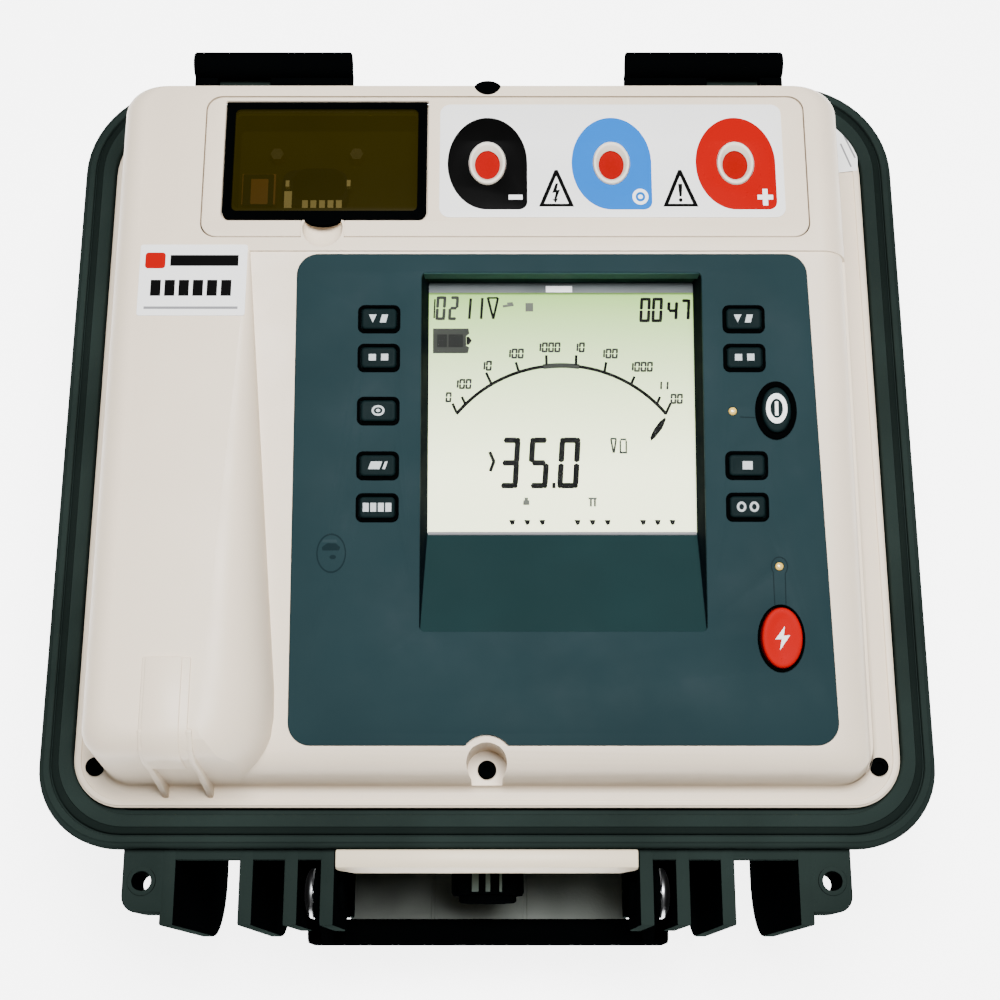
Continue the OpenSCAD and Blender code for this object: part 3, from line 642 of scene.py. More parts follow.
def make_fascia():
    body = make_panel()
    ledge = plate(outline(-152.2, 152.2, -141.4, 143.2, 18.4, 28.4, 14), [], -5, -2, 0.5)
    rim_outer = outline(-151.6, 151.6, -140.8, 142.6, 17.8, 27.8, 14)
    rim_inner = outline(-149.4, 149.4, -138.6, 140.4, 15.6, 25.6, 14)
    rim = plate(rim_outer, [rim_inner], -2.4, -1.3, 0.4)
    flare = [(2.4, -2.1), (1.2, -1.85), (0.45, -1.25), (0.1, -0.3), (-0.3, 1.0)]
    cove = loft([at_height(outline(-142 - g, 142 + g, -134 - g, 134 + g, 13 + g, 13 + g, 12), z)
                 for g, z in flare], close_last=False)
    cup = moved(turned([(8.6, STRIP_H - 7.3), (8.6, STRIP_H - 0.5), (7.55, STRIP_H - 0.4),
                        (7.4, STRIP_H - 2.6), (6.2, STRIP_H - 4.3), (3.6, STRIP_H - 5.1),
                        (0.4, STRIP_H - 5.35)], 64), TAB_X, THUMB_Y)
    cup = cut(cup, box_mesh(TAB_X - 12, TAB_X + 12, 70.2, 90, STRIP_H - 2.1, 60),
              box_mesh(TAB_X - 12, TAB_X + 12, 73.2, 90, 38, 58))
    pads = [bevelled(side_prism(strap_profile(lift), x0, x1), 0.5, 2)
            for lift, x0, x1 in ((0.6, -118.3, -101.5), (1.18, -117.2, -104.4))]
    fins = [bevelled(side_prism([(-119, 47), (-121, 49), (-127.5, 45.5), (-130.6, 39), (-132.4, 25),
                                 (-138, -1.9), (-130, -1.9)], x, x + 2.4), 0.7, 2)
            for x in (-118.6, -102.2)]
    for piece in (ledge, rim, cove, cup, *pads, *fins):
        shade(piece, 40)
    add_object("panel_fascia_moulding", joined(body, ledge, rim, cove, cup, *pads, *fins), CASE, "cream",
               replaces=("panel_fascia",))
    sticker = prism([(143.4, 115.8), (151.4, 116.8), (151.6, 121.6), (151.0, 129.6), (147.6, 137.0),
                     (143.0, 140.6)], -1.28, -1.18)
    add_object("ledge_sticker", sticker, CASE, "label")
    ends = (((145.7, 135.4), (150.7, 122.5)), ((145.1, 129.0), (148.8, 118.4)))
    lines = [prism(bar(p, q, 0.7), -1.18, -1.12) for p, q in ends]
    add_object("ledge_sticker_lines", joined(*lines), CASE, "print_grey")


def cover_outline(side, front, back, radius, *rear):
    """The port cover's outline moved in by different amounts; less than nothing moves it out."""
    return outline(COVER_X[0] + side, COVER_X[1] - side, COVER_Y[0] + front, COVER_Y[1] - back, radius,
                   *rear)


def make_terminal_plate():
    notch = (TAB_X - 8.2, TAB_X + 8.2)
    border = outline(-106.8, 120.1, 63.4, 121.8, 6)
    top = plate(border, [cover_outline(-0.35, -0.35, -0.35, 3, 0.4),
                         *(ellipse(7.0, 9.0, 48, x, TERM_Y) for x in SOCKET_X)], STRIP_H - 3, STRIP_H, 0.45)
    seat = plate(cover_outline(-0.6, -0.6, -0.6, 3, 0.4), [cover_outline(3.0, 3.0, 3.0, 2)],
                 STRIP_H - 3, STRIP_H - 2, 0.1)
    top = cut(top, box_mesh(*notch, 60, 70.6, 40, 60))
    for piece in (top, seat):
        shade(piece, 40)
    add_object("terminal_plate_moulding", joined(top, seat), CASE, "cream",
               replaces=("terminal_plate",))


# ---- terminals ----

def teardrop(a, b, cx, cy):
    """An ellipse whose front right quarter runs out to a square corner."""
    points = [(cx + a * cosd(t), cy + b * sind(t)) for t in range(0, 271, 5)]
    corner = 3.2
    points += [(cx + a - corner, cy - b)]
    points += [(cx + a - corner + corner * cosd(t), cy - b + corner + corner * sind(t))
               for t in range(-80, 1, 16)]
    return points


def make_terminals():
    label_top = STRIP_H + 0.3
    label = plate(outline(-18, 111.6, 71, 118.4, 4), [ellipse(7.0, 9.0, 48, x, TERM_Y) for x in SOCKET_X],
                  STRIP_H + 0.02, label_top, 0.08)
    add_object("terminal_label_film", shade(label), CASE, "label",
               replaces=("terminal_label",))
    for i, ink in enumerate(("print_black", "print_blue", "print_red")):
        badge = plate(teardrop(15.0, 19.2, i * PITCH, TERM_Y), [ellipse(7.05, 9.05, 48, i * PITCH, TERM_Y)],
                      label_top, label_top + 0.12, 0.03)
        add_object(f"terminal_badge_{i + 1}", shade(badge), CASE, ink)
    marks = []
    level = (label_top + 0.12, label_top + 0.2)
    mark_x = 10.6
    mark_y = TERM_Y - 14.2
    marks.append(prism(bar((mark_x - 2.6, mark_y), (mark_x + 2.6, mark_y), 1.9), *level))
    guard = plate(ellipse(3.0, 3.3, 32, PITCH + mark_x, mark_y + 0.2),
                  [ellipse(1.8, 2.0, 32, PITCH + mark_x, mark_y + 0.2)], *level, 0.02)
    marks.append(guard)
    marks.append(prism(ellipse(0.9, 0.9, 20, PITCH + mark_x, mark_y + 0.2), *level))
    plus_x = 2 * PITCH + mark_x
    marks.append(prism(bar((plus_x - 2.9, mark_y), (plus_x + 2.9, mark_y), 1.9), *level))
    marks.append(prism(bar((plus_x, mark_y - 3.4), (plus_x, mark_y - 0.96), 1.9), *level))
    marks.append(prism(bar((plus_x, mark_y + 0.96), (plus_x, mark_y + 3.4), 1.9), *level))
    add_object("terminal_marks", joined(*marks), CASE, "print_white")
    make_triangles(label_top)
    profile = [(6.4, 46.95), (6.8, 47.15), (6.8, 48.4), (6.72, 48.85), (6.5, 49.1), (6.2, 49.17),
               (5.9, 49.05), (5.6, 48.6), (5.1, 47.6), (4.8, 47.1), (4.75, 46.95)]
    rings = []
    for i in range(3):
        skin = []
        for r, z in profile:
            outer = max(0.0, (r - 4.75) / 2.05)
            skin.append(at_height(ellipse(r, r + 1.25 + 0.75 * outer, 64, i * PITCH, TERM_Y), z))
        skin.append(skin[0])
        rings.append(loft(skin, close_first=False, close_last=False))
    add_object("socket_ring_mouldings", shade(joined(*rings), 50), CASE, "ring",
               replaces=("socket_rings",))


def make_triangles(level):
    strokes = []
    z = (level, level + 0.1)
    for k, cx in enumerate((25.9, 72.4)):
        y0, y1 = 75.4, 90.6
        half = 6.6
        outer = [(cx - half, y0), (cx + half, y0), (cx + 0.6, y1), (cx - 0.6, y1)]
        inner = [(cx - half + 2.0, y0 + 1.15), (cx + half - 2.0, y0 + 1.15), (cx + 0.1, y1 - 2.6),
                 (cx - 0.1, y1 - 2.6)]
        strokes.append(plate(outer, [inner], *z, 0.02))
        if k == 0:
            bolt = [(cx - 0.3, y0 + 9.6), (cx - 1.6, y0 + 5.6), (cx - 0.2, y0 + 5.9), (cx - 0.9, y0 + 3.0),
                    (cx - 1.5, y0 + 3.1), (cx - 0.3, y0 + 1.5), (cx + 0.6, y0 + 3.4), (cx + 0.0, y0 + 3.2),
                    (cx + 1.4, y0 + 7.0), (cx + 0.1, y0 + 6.8), (cx + 0.7, y0 + 9.6)]
            strokes.append(prism(bolt, *z))
        else:
            strokes.append(prism([(cx - 0.45, y0 + 4.2), (cx + 0.45, y0 + 4.2), (cx + 0.8, y0 + 9.4),
                                  (cx - 0.8, y0 + 9.4)], *z))
            strokes.append(prism(ellipse(0.7, 0.8, 20, cx, y0 + 2.7), *z))
    add_object("terminal_triangles", joined(*strokes), CASE, "print_black")


# ---- port cover and the ports under it ----

def make_port_cover():
    z0, z1 = COVER_PIVOT[1] - 0.95, COVER_PIVOT[1] + 0.95
    rim = plate(outline(COVER_X[0], COVER_X[1], COVER_Y[0], COVER_PIVOT[0], 3.5, 0.4),
                [cover_outline(3.5, 3.5, 3.4, 2)], z0, z1, 0.3)
    barrel = moved(turned([(0.7, 0), (0.95, 0.3), (0.95, COVER_X[1] - COVER_X[0] - 0.3),
                           (0.7, COVER_X[1] - COVER_X[0])], 24, "X"), COVER_X[0], COVER_PIVOT[0],
                   COVER_PIVOT[1])
    half = [(7.1 * cosd(a), 3.2 * sind(a)) for a in range(180, 361, 10)]
    tab = plate([(TAB_X + x, COVER_Y[0] + 0.5 + y) for x, y in half], [], z0, z1 + 0.15, 0.25)
    for piece in (rim, barrel, tab):
        shade(piece, 45)
    add_object("port_cover_rim", joined(rim, barrel, tab), CASE, "bezel", "port_cover",
               replaces=("cover_frame",))
    pane = plate(cover_outline(3.4, 3.4, 3.3, 2), [],
                 COVER_PIVOT[1] - 0.7, COVER_PIVOT[1] + 0.7, 0.2)
    add_object("port_cover_pane", shade(pane), CASE, "smoked", "port_cover",
               replaces=("cover_window",))
    square = plate(outline(-93.6, -81.9, 81.5, 94.6, 0.6), [], 36.4, 37.5, 0.1)
    add_object("data_port_rim", square, CASE, "black")
    mouth = plate(outline(-90.5, -83.9, 81.8, 92.4, 0.4), [], 37.5, 37.8, 0.05)
    add_object("data_port_mouth", mouth, CASE, "orange")
    plug = plate(outline(-74, -54.4, 83.1, 95.4, 5.5), [], 37.9, 41, 0.6)
    add_object("serial_port_face", plug, CASE, "bezel")
    pins = [box_mesh(x, x + 2.2, 79.6, 83.0, 37.9, 38.6) for x in (-70.6, -67.4, -64.1, -60.9, -57.7)]
    pins += [box_mesh(-77.5, -74.6, 79.6, 86.8, 37.9, 38.6), box_mesh(-76.9, -75.5, 87.8, 90.4, 37.9, 40.4),
             box_mesh(-53.6, -52.2, 88.0, 90.6, 37.9, 40.4)]
    add_object("serial_port_shell", joined(*pins), CASE, "shell")


# ---- control overlay, display ----

def make_overlay():
    holes = [outline(OPENING_X[0], OPENING_X[1], DISPLAY_V[0], DISPLAY_V[1], 2, 2, 6)]
    half_w, half_l = KEY_SIZE[0] / 2 + 0.35, KEY_SIZE[1] / 2 + 0.35
    for x, rows in ((LEFT_KEY_X, LEFT_KEYS), (RIGHT_KEY_X, RIGHT_KEYS)):
        holes += [rounded(x, v, half_w, half_l, 1.6, 1.6, 4) for v in rows]
    holes.append(ellipse(5.6, 8.8, 48, OVAL_X, POWER_V))
    holes.append(ellipse(7.6, 11.2, 48, OVAL_X, TEST_V))
    holes += [ellipse(1.6, 1.6, 24, x, v) for x, v in LEDS]
    film = plate(overlay_outline(), holes, -1.2, 0.3, 0.25)
    notch = moved(turned([(9.6, -5), (9.6, 5)], 48), 0, -187.2)
    film = cut(film, notch)
    add_object("control_overlay_film", shade(film, 40), PANEL, "teal",
               replaces=("control_overlay",))
    # embossed ring mark, and the fine grooves round the lamps; the grooves and the mark's dark parts are a
    # darker teal, painted shade, and the glint on the mark is a lighter teal, a painted highlight
    level = (0.3, 0.33)
    x, v = EMBLEM
    dark = [plate(ellipse(5.4, 7.2, 48, x, v), [ellipse(4.9, 6.6, 48, x, v)], *level),
            prism(ellipse(1.2, 0.8, 20, x + 0.6, v - 1.4), *level),
            prism([(x - 3.2, v + 1.0), (x + 2.8, v + 1.0), (x + 3.2, v + 2.2), (x + 1.6, v + 3.6),
                   (x - 1.6, v + 3.6), (x - 3.4, v + 2.2)], *level)]
    light = [prism([(x - 3.4, v + 3.9), (x + 2.2, v + 3.9), (x + 1.8, v + 5.0), (x - 3.0, v + 5.0)], *level)]
    lx, lv = LEDS[1]
    keyhole = [(lx + 2.9 * cosd(a), lv + 3.4 * sind(a)) for a in range(-46, 227, 12)]
    keyhole = [(lx + 2.0, TEST_V + 11.9), *keyhole, (lx - 2.0, TEST_V + 11.9)]
    dark += [prism(bar(p, q, 0.45), *level) for p, q in zip(keyhole, keyhole[1:])]
    lx, lv = LEDS[0]
    dark.append(prism(bar((lx + 2.6, lv - 2.2), (OVAL_X - 7.4, lv - 2.4), 0.5), *level))
    add_object("overlay_grooves", joined(*dark), PANEL, "teal_dark")
    add_object("overlay_glint", joined(*light), PANEL, "teal_light")


def make_surround():
    def ring(grow, v0, v1, x0, x1, w, r):
        return at_height(outline(x0 - grow, x1 + grow, v0 - grow, v1 + grow, r, r, 6), w)

    glass = (GLASS_V[0], GLASS_TOP, GLASS_X[0], GLASS_X[1])
    top = (DISPLAY_V[0], DISPLAY_V[1], *OPENING_X)

    def between(t, grow, w, r):
        values = [a + (b - a) * t for a, b in zip(top, glass)]
        return ring(grow, *values, w, r)

    rings = [between(0, 2.4, -1.35, 3), between(0, 0.6, -1.3, 2.2), between(0.0, 0.0, -1.25, 2.0),
             between(0.03, 0, -1.7, 2.0), between(0.5, 0, -6.6, 1.6), between(0.96, 0, -12.5, 1.0),
             between(1.0, -0.05, -12.9, 0.8), between(1.0, -0.1, -13.0, 0.8), between(1.0, 2.6, -13.05, 2),
             between(0.5, 2.6, -8.6, 2), between(0, 2.4, -1.35, 3)]
    surround = loft(rings, close_first=False, close_last=False)
    shade(surround, 30)
    made = add_object("display_surround_moulding", surround, PANEL, "surround",
                      replaces=("display_surround",))
    # the recess's left and right walls take the darker teal: painted shade
    paint_side_shade(made, "surround_side")
    # the opening's back wall takes a lighter teal than the overlay: painted light on a wall in shade
    back = DISPLAY_V[1]
    lintel = side_prism([(back - 0.02, -0.2), (back - 0.35, 0.1), (back - 0.9, -5.2), (back - 0.1, -5.6)],
                        OPENING_X[0] + 0.5, OPENING_X[1] - 0.7)
    add_object("display_lintel", lintel, PANEL, "lintel")
    front = GLASS_V[0]
    sill = side_prism([(front + 0.9, -12.6), (front + 0.1, -12.3), (front - 0.3, -12.7),
                       (front + 0.2, -12.98)], GLASS_X[0] + 0.3, GLASS_X[1] - 0.3)
    add_object("display_sill", sill, PANEL, "print_grey")


# The strokes each figure lights: a top, b upper right, c lower right, d bottom, e lower left, f upper left,
# g middle.
FIGURES = {"0": "abcdef", "1": "bc", "2": "abdeg", "3": "abcdg", "4": "bcfg", "5": "acdfg", "6": "acdefg",
           "7": "abc", "8": "abcdefg", "9": "abcdfg"}


def figure(char, x, y, w, h, stroke, lean=0.06):
    """A seven-segment figure as chamfered strokes, its lower left corner at x, y."""
    ends = {"a": ((0, h), (w, h)), "b": ((w, h), (w, h / 2)), "c": ((w, h / 2), (w, 0)),
            "d": ((0, 0), (w, 0)), "e": ((0, 0), (0, h / 2)), "f": ((0, h / 2), (0, h)),
            "g": ((0, h / 2), (w, h / 2))}
    corners = {"ab": (w, h), "cd": (w, 0), "de": (0, 0), "af": (0, h), "bc": (w, h / 2)}
    shapes = []
    gap = stroke * 0.06
    half = stroke / 2
    lit = FIGURES[char]
    for name in lit:
        (ax, ay), (bx, by) = ends[name]
        length = hypot(bx - ax, by - ay)
        dx, dy = (bx - ax) / length, (by - ay) / length
        loop = []
        end = half * 0.55
        for along, across in ((gap, 0), (gap + end, -half), (length - gap - end, -half), (length - gap, 0),
                              (length - gap - end, half), (gap + end, half)):
            px, py = ax + dx * along - dy * across, ay + dy * along + dx * across
            loop.append((x + px + lean * py, y + py))
        shapes.append(loop)
    for pair, (px, py) in corners.items():
        if all(name in lit for name in pair) and not (pair == "bc" and "e" in lit):
            shapes.append(ellipse(half * 0.92, half * 0.92, 16, x + px + lean * py, y + py))
    return shapes


def make_display():
    """Segments on the cell: readings, battery, arc scale with its pointer, rows of marks."""
    dark = []
    soft = []
    faint = []

    def number(text, x, y, w, h, stroke, step, ink):
        for char in text:
            ink.extend(figure(char, x, y, w, h, stroke))
            x += step

    def box(x0, y0, x1, y1):
        return [(x0, y0), (x1, y0), (x1, y1), (x0, y1)]

    def strokes(*rows):
        return [bar((x0, y0), (x1, y1), width) for x0, y0, x1, y1, width in rows]

    number("0", -19.2, -21.8, 2.6, 8.2, 1.15, 0, soft)
    number("2", -14.4, -21.8, 2.6, 8.2, 1.15, 0, soft)
    dark += strokes((-20.2, -21.6, -19.9, -14.2, 0.6), (-6.9, -21.9, -6.3, -13.9, 1.0),
                    (-2.4, -21.9, -1.9, -13.7, 1.0), (0.1, -13.5, 2.2, -21.9, 0.9),
                    (2.2, -21.9, 4.0, -13.7, 0.9), (0.1, -13.7, 4.0, -13.7, 0.7))
    number("00", 58.0, -22.6, 2.9, 8.4, 1.2, 4.6, dark)
    number("4", 68.4, -22.2, 2.9, 7.0, 1.2, 0, dark)
    number("7", 73.2, -22.2, 2.7, 7.4, 1.2, 0, dark)
    number("3", 4.9, -85.7, 5.5, 17.2, 2.15, 0, dark)
    number("5", 16.0, -85.7, 5.5, 17.2, 2.15, 0, dark)
    number("0", 27.1, -85.7, 5.8, 17.2, 2.15, 0, dark)
    dark.append(box(24.2, -86.7, 25.5, -84.6))
    # battery: a grey body with two cells and a pointed cap
    soft.append([(-20.6, -35.2), (-7.4, -35.2), (-6.8, -33.0), (-8.0, -32.2), (-8.0, -28.6), (-6.8, -27.6),
                 (-7.2, -25.6), (-20.6, -25.6)])
    cells = [box(-19.0, -32.8, -15.3, -27.9), box(-14.7, -32.8, -9.2, -27.9)]
    dark.append([(-7.9, -31.9), (-7.0, -31.9), (-5.9, -30.3), (-7.0, -28.8), (-7.9, -28.8)])
    # arc scale
    left, right, crown = (-11.6, -58.4), (67.1, -58.6), -39.9
    chord = (right[0] - left[0]) / 2
    rise = crown - (left[1] + right[1]) / 2
    radius = (chord ** 2 + rise ** 2) / (2 * rise)
    cx, cy = (left[0] + right[0]) / 2, crown - radius
    spread = asin(chord / radius)
    steps = 40

    def on_arc(fraction, r):
        angle = pi / 2 + spread - 2 * spread * fraction
        return cx + r * cos(angle), cy + r * sin(angle)

    for i in range(steps):
        a, b = i / steps, (i + 1.05) / steps
        ink, half = (soft, 0.95) if 17 <= i < 23 else (dark, 0.62)
        ink.append([on_arc(a, radius - half), on_arc(b, radius - half), on_arc(b, radius + half),
                    on_arc(a, radius + half)])
    ticks = (((-13.1, -54.5), (-11.4, -58.2)), ((-9.6, -51.9), (-8.2, -54.9)), ((-0.5, -42.6), (1.5, -47.0)),
             ((10.7, -38.6), (11.8, -42.2)), ((22.2, -35.9), (22.3, -39.8)), ((33.5, -35.9), (33.4, -39.8)),
             ((44.8, -38.6), (44.1, -42.4)), ((55.4, -44.1), (54.0, -47.4)), ((64.9, -51.9), (63.6, -54.9)),
             ((68.9, -54.3), (66.9, -58.6)))
    dark += [bar(p, q, 1.0) for p, q in ticks]
    labels = (("0", -14.7, -52.1), ("100", -9.7, -47.0), ("10", -0.8, -40.0), ("100", 10.0, -35.3),
              ("1000", 22.6, -32.9), ("10", 34.3, -32.9), ("100", 45.5, -35.3), ("1000", 57.4, -40.4),
              ("11", 65.7, -47.6), ("00", 71.0, -52.7))
    for text, lx, ly in labels:
        number(text, lx - 1.15 * len(text) + 0.4, ly - 1.6, 1.5, 3.2, 0.78, 2.4, soft)
    # pointer, below the right-hand end of the scale
    dark.append([(66.7, -59.8), (67.0, -60.6), (65.6, -64.0), (62.9, -67.4), (61.3, -68.8), (61.0, -67.4),
                 (62.4, -64.4), (64.6, -61.4)])
    # "more than" chevron, unit marks
    dark += strokes((0.9, -72.9, 2.5, -76.7, 1.25), (2.5, -76.5, 1.1, -80.3, 1.25))
    soft += strokes((46.1, -67.9, 48.4, -67.9, 0.7), (46.3, -68.1, 47.2, -73.3, 0.7),
                    (48.2, -68.1, 47.4, -73.3, 0.7), (49.8, -73.2, 49.8, -68.6, 0.6),
                    (52.0, -73.2, 52.0, -68.6, 0.6), (49.8, -68.2, 52.0, -68.2, 0.7),
                    (49.5, -73.2, 52.3, -73.2, 0.7))
    # small annunciators and the row of marks along the foot
    faint += [box(14.4, -19.0, 17.3, -15.7), bar((5.8, -17.0), (9.9, -16.4), 0.9),
              bar((7.4, -15.9), (9.6, -15.7), 0.7)]
    faint += [box(13.4, -93.0, 15.7, -91.2), box(13.9, -91.2, 15.2, -90.2)]
    faint += [box(37.7, -90.9, 40.8, -90.2), box(38.2, -93.6, 39.0, -90.9), box(39.7, -93.6, 40.5, -90.9)]
    for px in (9.3, 14.9, 20.5, 33.6, 39.2, 44.8, 58.0, 63.4, 68.9):
        dark.append([(px - 1.2, -98.6), (px + 1.1, -98.6), (px + 0.7, -100.2), (px - 0.3, -100.6),
                     (px - 0.7, -99.8)])
    level = -DISPLAY_DEPTH - 1.69
    for name, loops, ink, lift in (("display_segments", dark, "segment", 0.02),
                                   ("display_soft_segments", soft, "segment_soft", 0),
                                   ("display_battery_cells", cells, "segment_cell", 0.02),
                                   ("display_annunciators", faint, "segment_faint", 0)):
        add_object(name, joined(*(prism(loop, level, level + 0.05 + lift) for loop in loops)), PANEL, ink)
    # bright metal edge of the cell along the top, with a pale block in its middle
    level = -DISPLAY_DEPTH + 0.04
    strip = prism(box(GLASS_X[0] + 0.1, GLASS_TOP - 3.9, GLASS_X[1] - 0.1, GLASS_TOP - 0.1), level,
                  level + 0.06)
    add_object("display_cell_edge", strip, PANEL, "cell_edge")
    block = prism(box(22.1, GLASS_TOP - 3.7, 32.0, GLASS_TOP - 1.3), level + 0.06, level + 0.1)
    add_object("display_edge_block", block, PANEL, "print_white")


# ---- keys ----

def crowned_key(x, v):
    """A rectangular rubber key with a soft edge, a shallow dish and its skirt below the overlay."""
    w, l = KEY_SIZE[0] / 2, KEY_SIZE[1] / 2
    skin = [(0, -5.8), (0, 0.5), (0.05, 0.95), (0.22, 1.32), (0.55, 1.54), (0.95, 1.6), (1.5, 1.5),
            (2.4, 1.42)]
    rings = [at_height(rounded(x, v, w - i, l - i, max(1.4 - i * 0.5, 0.5), None, 5), z)
             for i, z in skin]
    cap = loft(rings)
    skirt = prism(rounded(x, v, w + 1.2, l + 1.2, 1.4, None, 5), -3.4, -2.4)
    out = joined(cap, skirt)
    return shade(out, 50)


def key_marks(kind, x, v):
    """Small generic marks: arrows, bars, a lamp ring, squares."""
    def block(x0, x1, v0=-1.5, v1=1.5, lean=0.0):
        return [(x + x0 - lean, v + v0), (x + x1 - lean, v + v0), (x + x1 + lean, v + v1),
                (x + x0 + lean, v + v1)]

    loops = []
    if kind == "up":
        loops += [[(x - 3.7, v + 1.5), (x - 2.3, v - 1.5), (x - 0.9, v + 1.5)], block(0.7, 2.9, lean=0.4)]
    if kind == "down":
        loops += [block(-3.6, -1.0, -1.2, 1.2), block(0.9, 3.5, -1.2, 1.3)]
    if kind == "ring":
        rim = ellipse(2.0, 1.6, 24, x, v)
        loops += [bar(p, q, 0.75) for p, q in zip(rim, rim[1:] + rim[:1])] + [ellipse(0.8, 0.6, 16, x, v)]
    if kind == "wave":
        loops += [block(-2.9, 1.2, -1.4, 1.4, 0.5), block(2.2, 3.2, -1.4, 1.4, 0.5)]
    if kind == "blocks":
        loops += [block(d - 1.05, d + 1.05, -1.6, 1.6) for d in (-4.1, -1.4, 1.4, 4.1)]
    if kind == "lamp":
        loops += [block(-1.6, 2.0, -1.6, 1.4)]
    if kind == "rings":
        for d in (-2.3, 2.3):
            rim = ellipse(1.3, 1.5, 20, x + d, v)
            loops += [bar(p, q, 0.8) for p, q in zip(rim, rim[1:] + rim[:1])]
    return loops


def make_keys():
    plan = [(f"key_left_{i + 1}", LEFT_KEY_X, v, kind) for i, (v, kind) in
            enumerate(zip(LEFT_KEYS, ("up", "down", "ring", "wave", "blocks")))]
    plan += [(f"key_right_{i + 1}", RIGHT_KEY_X, v, kind) for i, (v, kind) in
             enumerate(zip(RIGHT_KEYS, ("up", "down", "lamp", "rings")))]
    bezels = []
    for name, x, v, kind in plan:
        add_object(name + "_rubber", crowned_key(x, v), PANEL, "key", name + "_cap",
                   replaces=(name,))
        marks = joined(*(prism(loop, 1.40, 1.62) for loop in key_marks(kind, x, v)))
        add_object(name + "_mark", marks, PANEL, "key_print", name + "_cap")
        half_w, half_l = KEY_SIZE[0] / 2, KEY_SIZE[1] / 2
        bezels.append(plate(rounded(x, v, half_w + 1.4, half_l + 1.4, 2.4, None, 6),
                            [rounded(x, v, half_w + 0.35, half_l + 0.35, 1.6, None, 6)],
                            0.3, 1.0, 0.25))
    add_object("key_bezel_rims", shade(joined(*bezels), 45), PANEL, "bezel",
               replaces=("key_bezels",))


def oval_rim(v, a, b, rim):
    out = plate(ellipse(a + rim, b + rim, 64, OVAL_X, v), [ellipse(a, b, 64, OVAL_X, v)], 0.3, 1.5, 0.4, 3)
    return shade(out, 45)


def oval_cap(v, a, b, proud, dish):
    skin = [(0, -4.8), (0, proud - 1.0), (0.08, proud - 0.55), (0.35, proud - 0.2), (0.8, proud - 0.03),
            (1.4, proud), (2.4, proud - 0.1 * dish), (3.6, proud - 0.24 * dish), (4.6, proud - 0.33 * dish)]
    cap = loft([at_height(ellipse(a - i, b - i, 64, OVAL_X, v), w) for i, w in skin])
    skirt = prism(ellipse(a + 1.2, b + 1.2, 64, OVAL_X, v), -3.8, -2.8)
    out = joined(cap, skirt)
    return shade(out, 50)


def make_ovals():
    add_object("power_bezel_rim", oval_rim(POWER_V, 5.6, 8.8, 2.0), PANEL, "bezel",
               replaces=("power_bezel",))
    add_object("test_bezel_rim", oval_rim(TEST_V, 7.6, 11.2, 0.9), PANEL, "bezel",
               replaces=("test_bezel",))
    add_object("power_key_cap", oval_cap(POWER_V, 5.25, 8.45, 2.6, 1.0), PANEL, "key",
               "power_button", replaces=("power_key",))
    add_object("test_button_cap", oval_cap(TEST_V, 7.25, 10.85, 3.6, 1.4), PANEL, "test_red",
               "test_start", replaces=("test_button",))
    ring = plate(ellipse(3.9, 5.6, 64, OVAL_X, POWER_V + 0.4),
                 [ellipse(2.3, 3.6, 64, OVAL_X, POWER_V + 0.4)], 2.38, 2.6, 0.04)
    stroke = prism(bar((OVAL_X, POWER_V - 2.2), (OVAL_X, POWER_V + 3.0), 1.2), 2.25, 2.5)
    add_object("power_key_mark", joined(ring, stroke), PANEL, "print_white", "power_button")
    x, v = OVAL_X, TEST_V
    bolt = [(x + 0.9, v + 4.2), (x - 2.6, v - 0.6), (x - 0.3, v - 0.4), (x - 1.0, v - 4.4),
            (x + 2.7, v + 0.9), (x + 0.4, v + 0.7)]
    add_object("test_button_mark", prism(bolt, 2.95, 3.3), PANEL, "print_white", "test_start")


def make_leds():
    lamps = []
    for x, v in LEDS:
        lamp = turned([(1.5, -7.5), (1.5, 0.1), (1.4, 0.38), (1.1, 0.58), (0.6, 0.72), (0.2, 0.76)], 32)
        lamps.append(moved(lamp, x, v))
        base = turned([(2.0, -9.5), (2.0, -7.4)], 32)
        lamps.append(moved(base, x, v))
    add_object("status_led_lenses", shade(joined(*lamps), 50), PANEL, "amber",
               replaces=("status_leds",))


# ---- front hardware, hinges, small parts ----

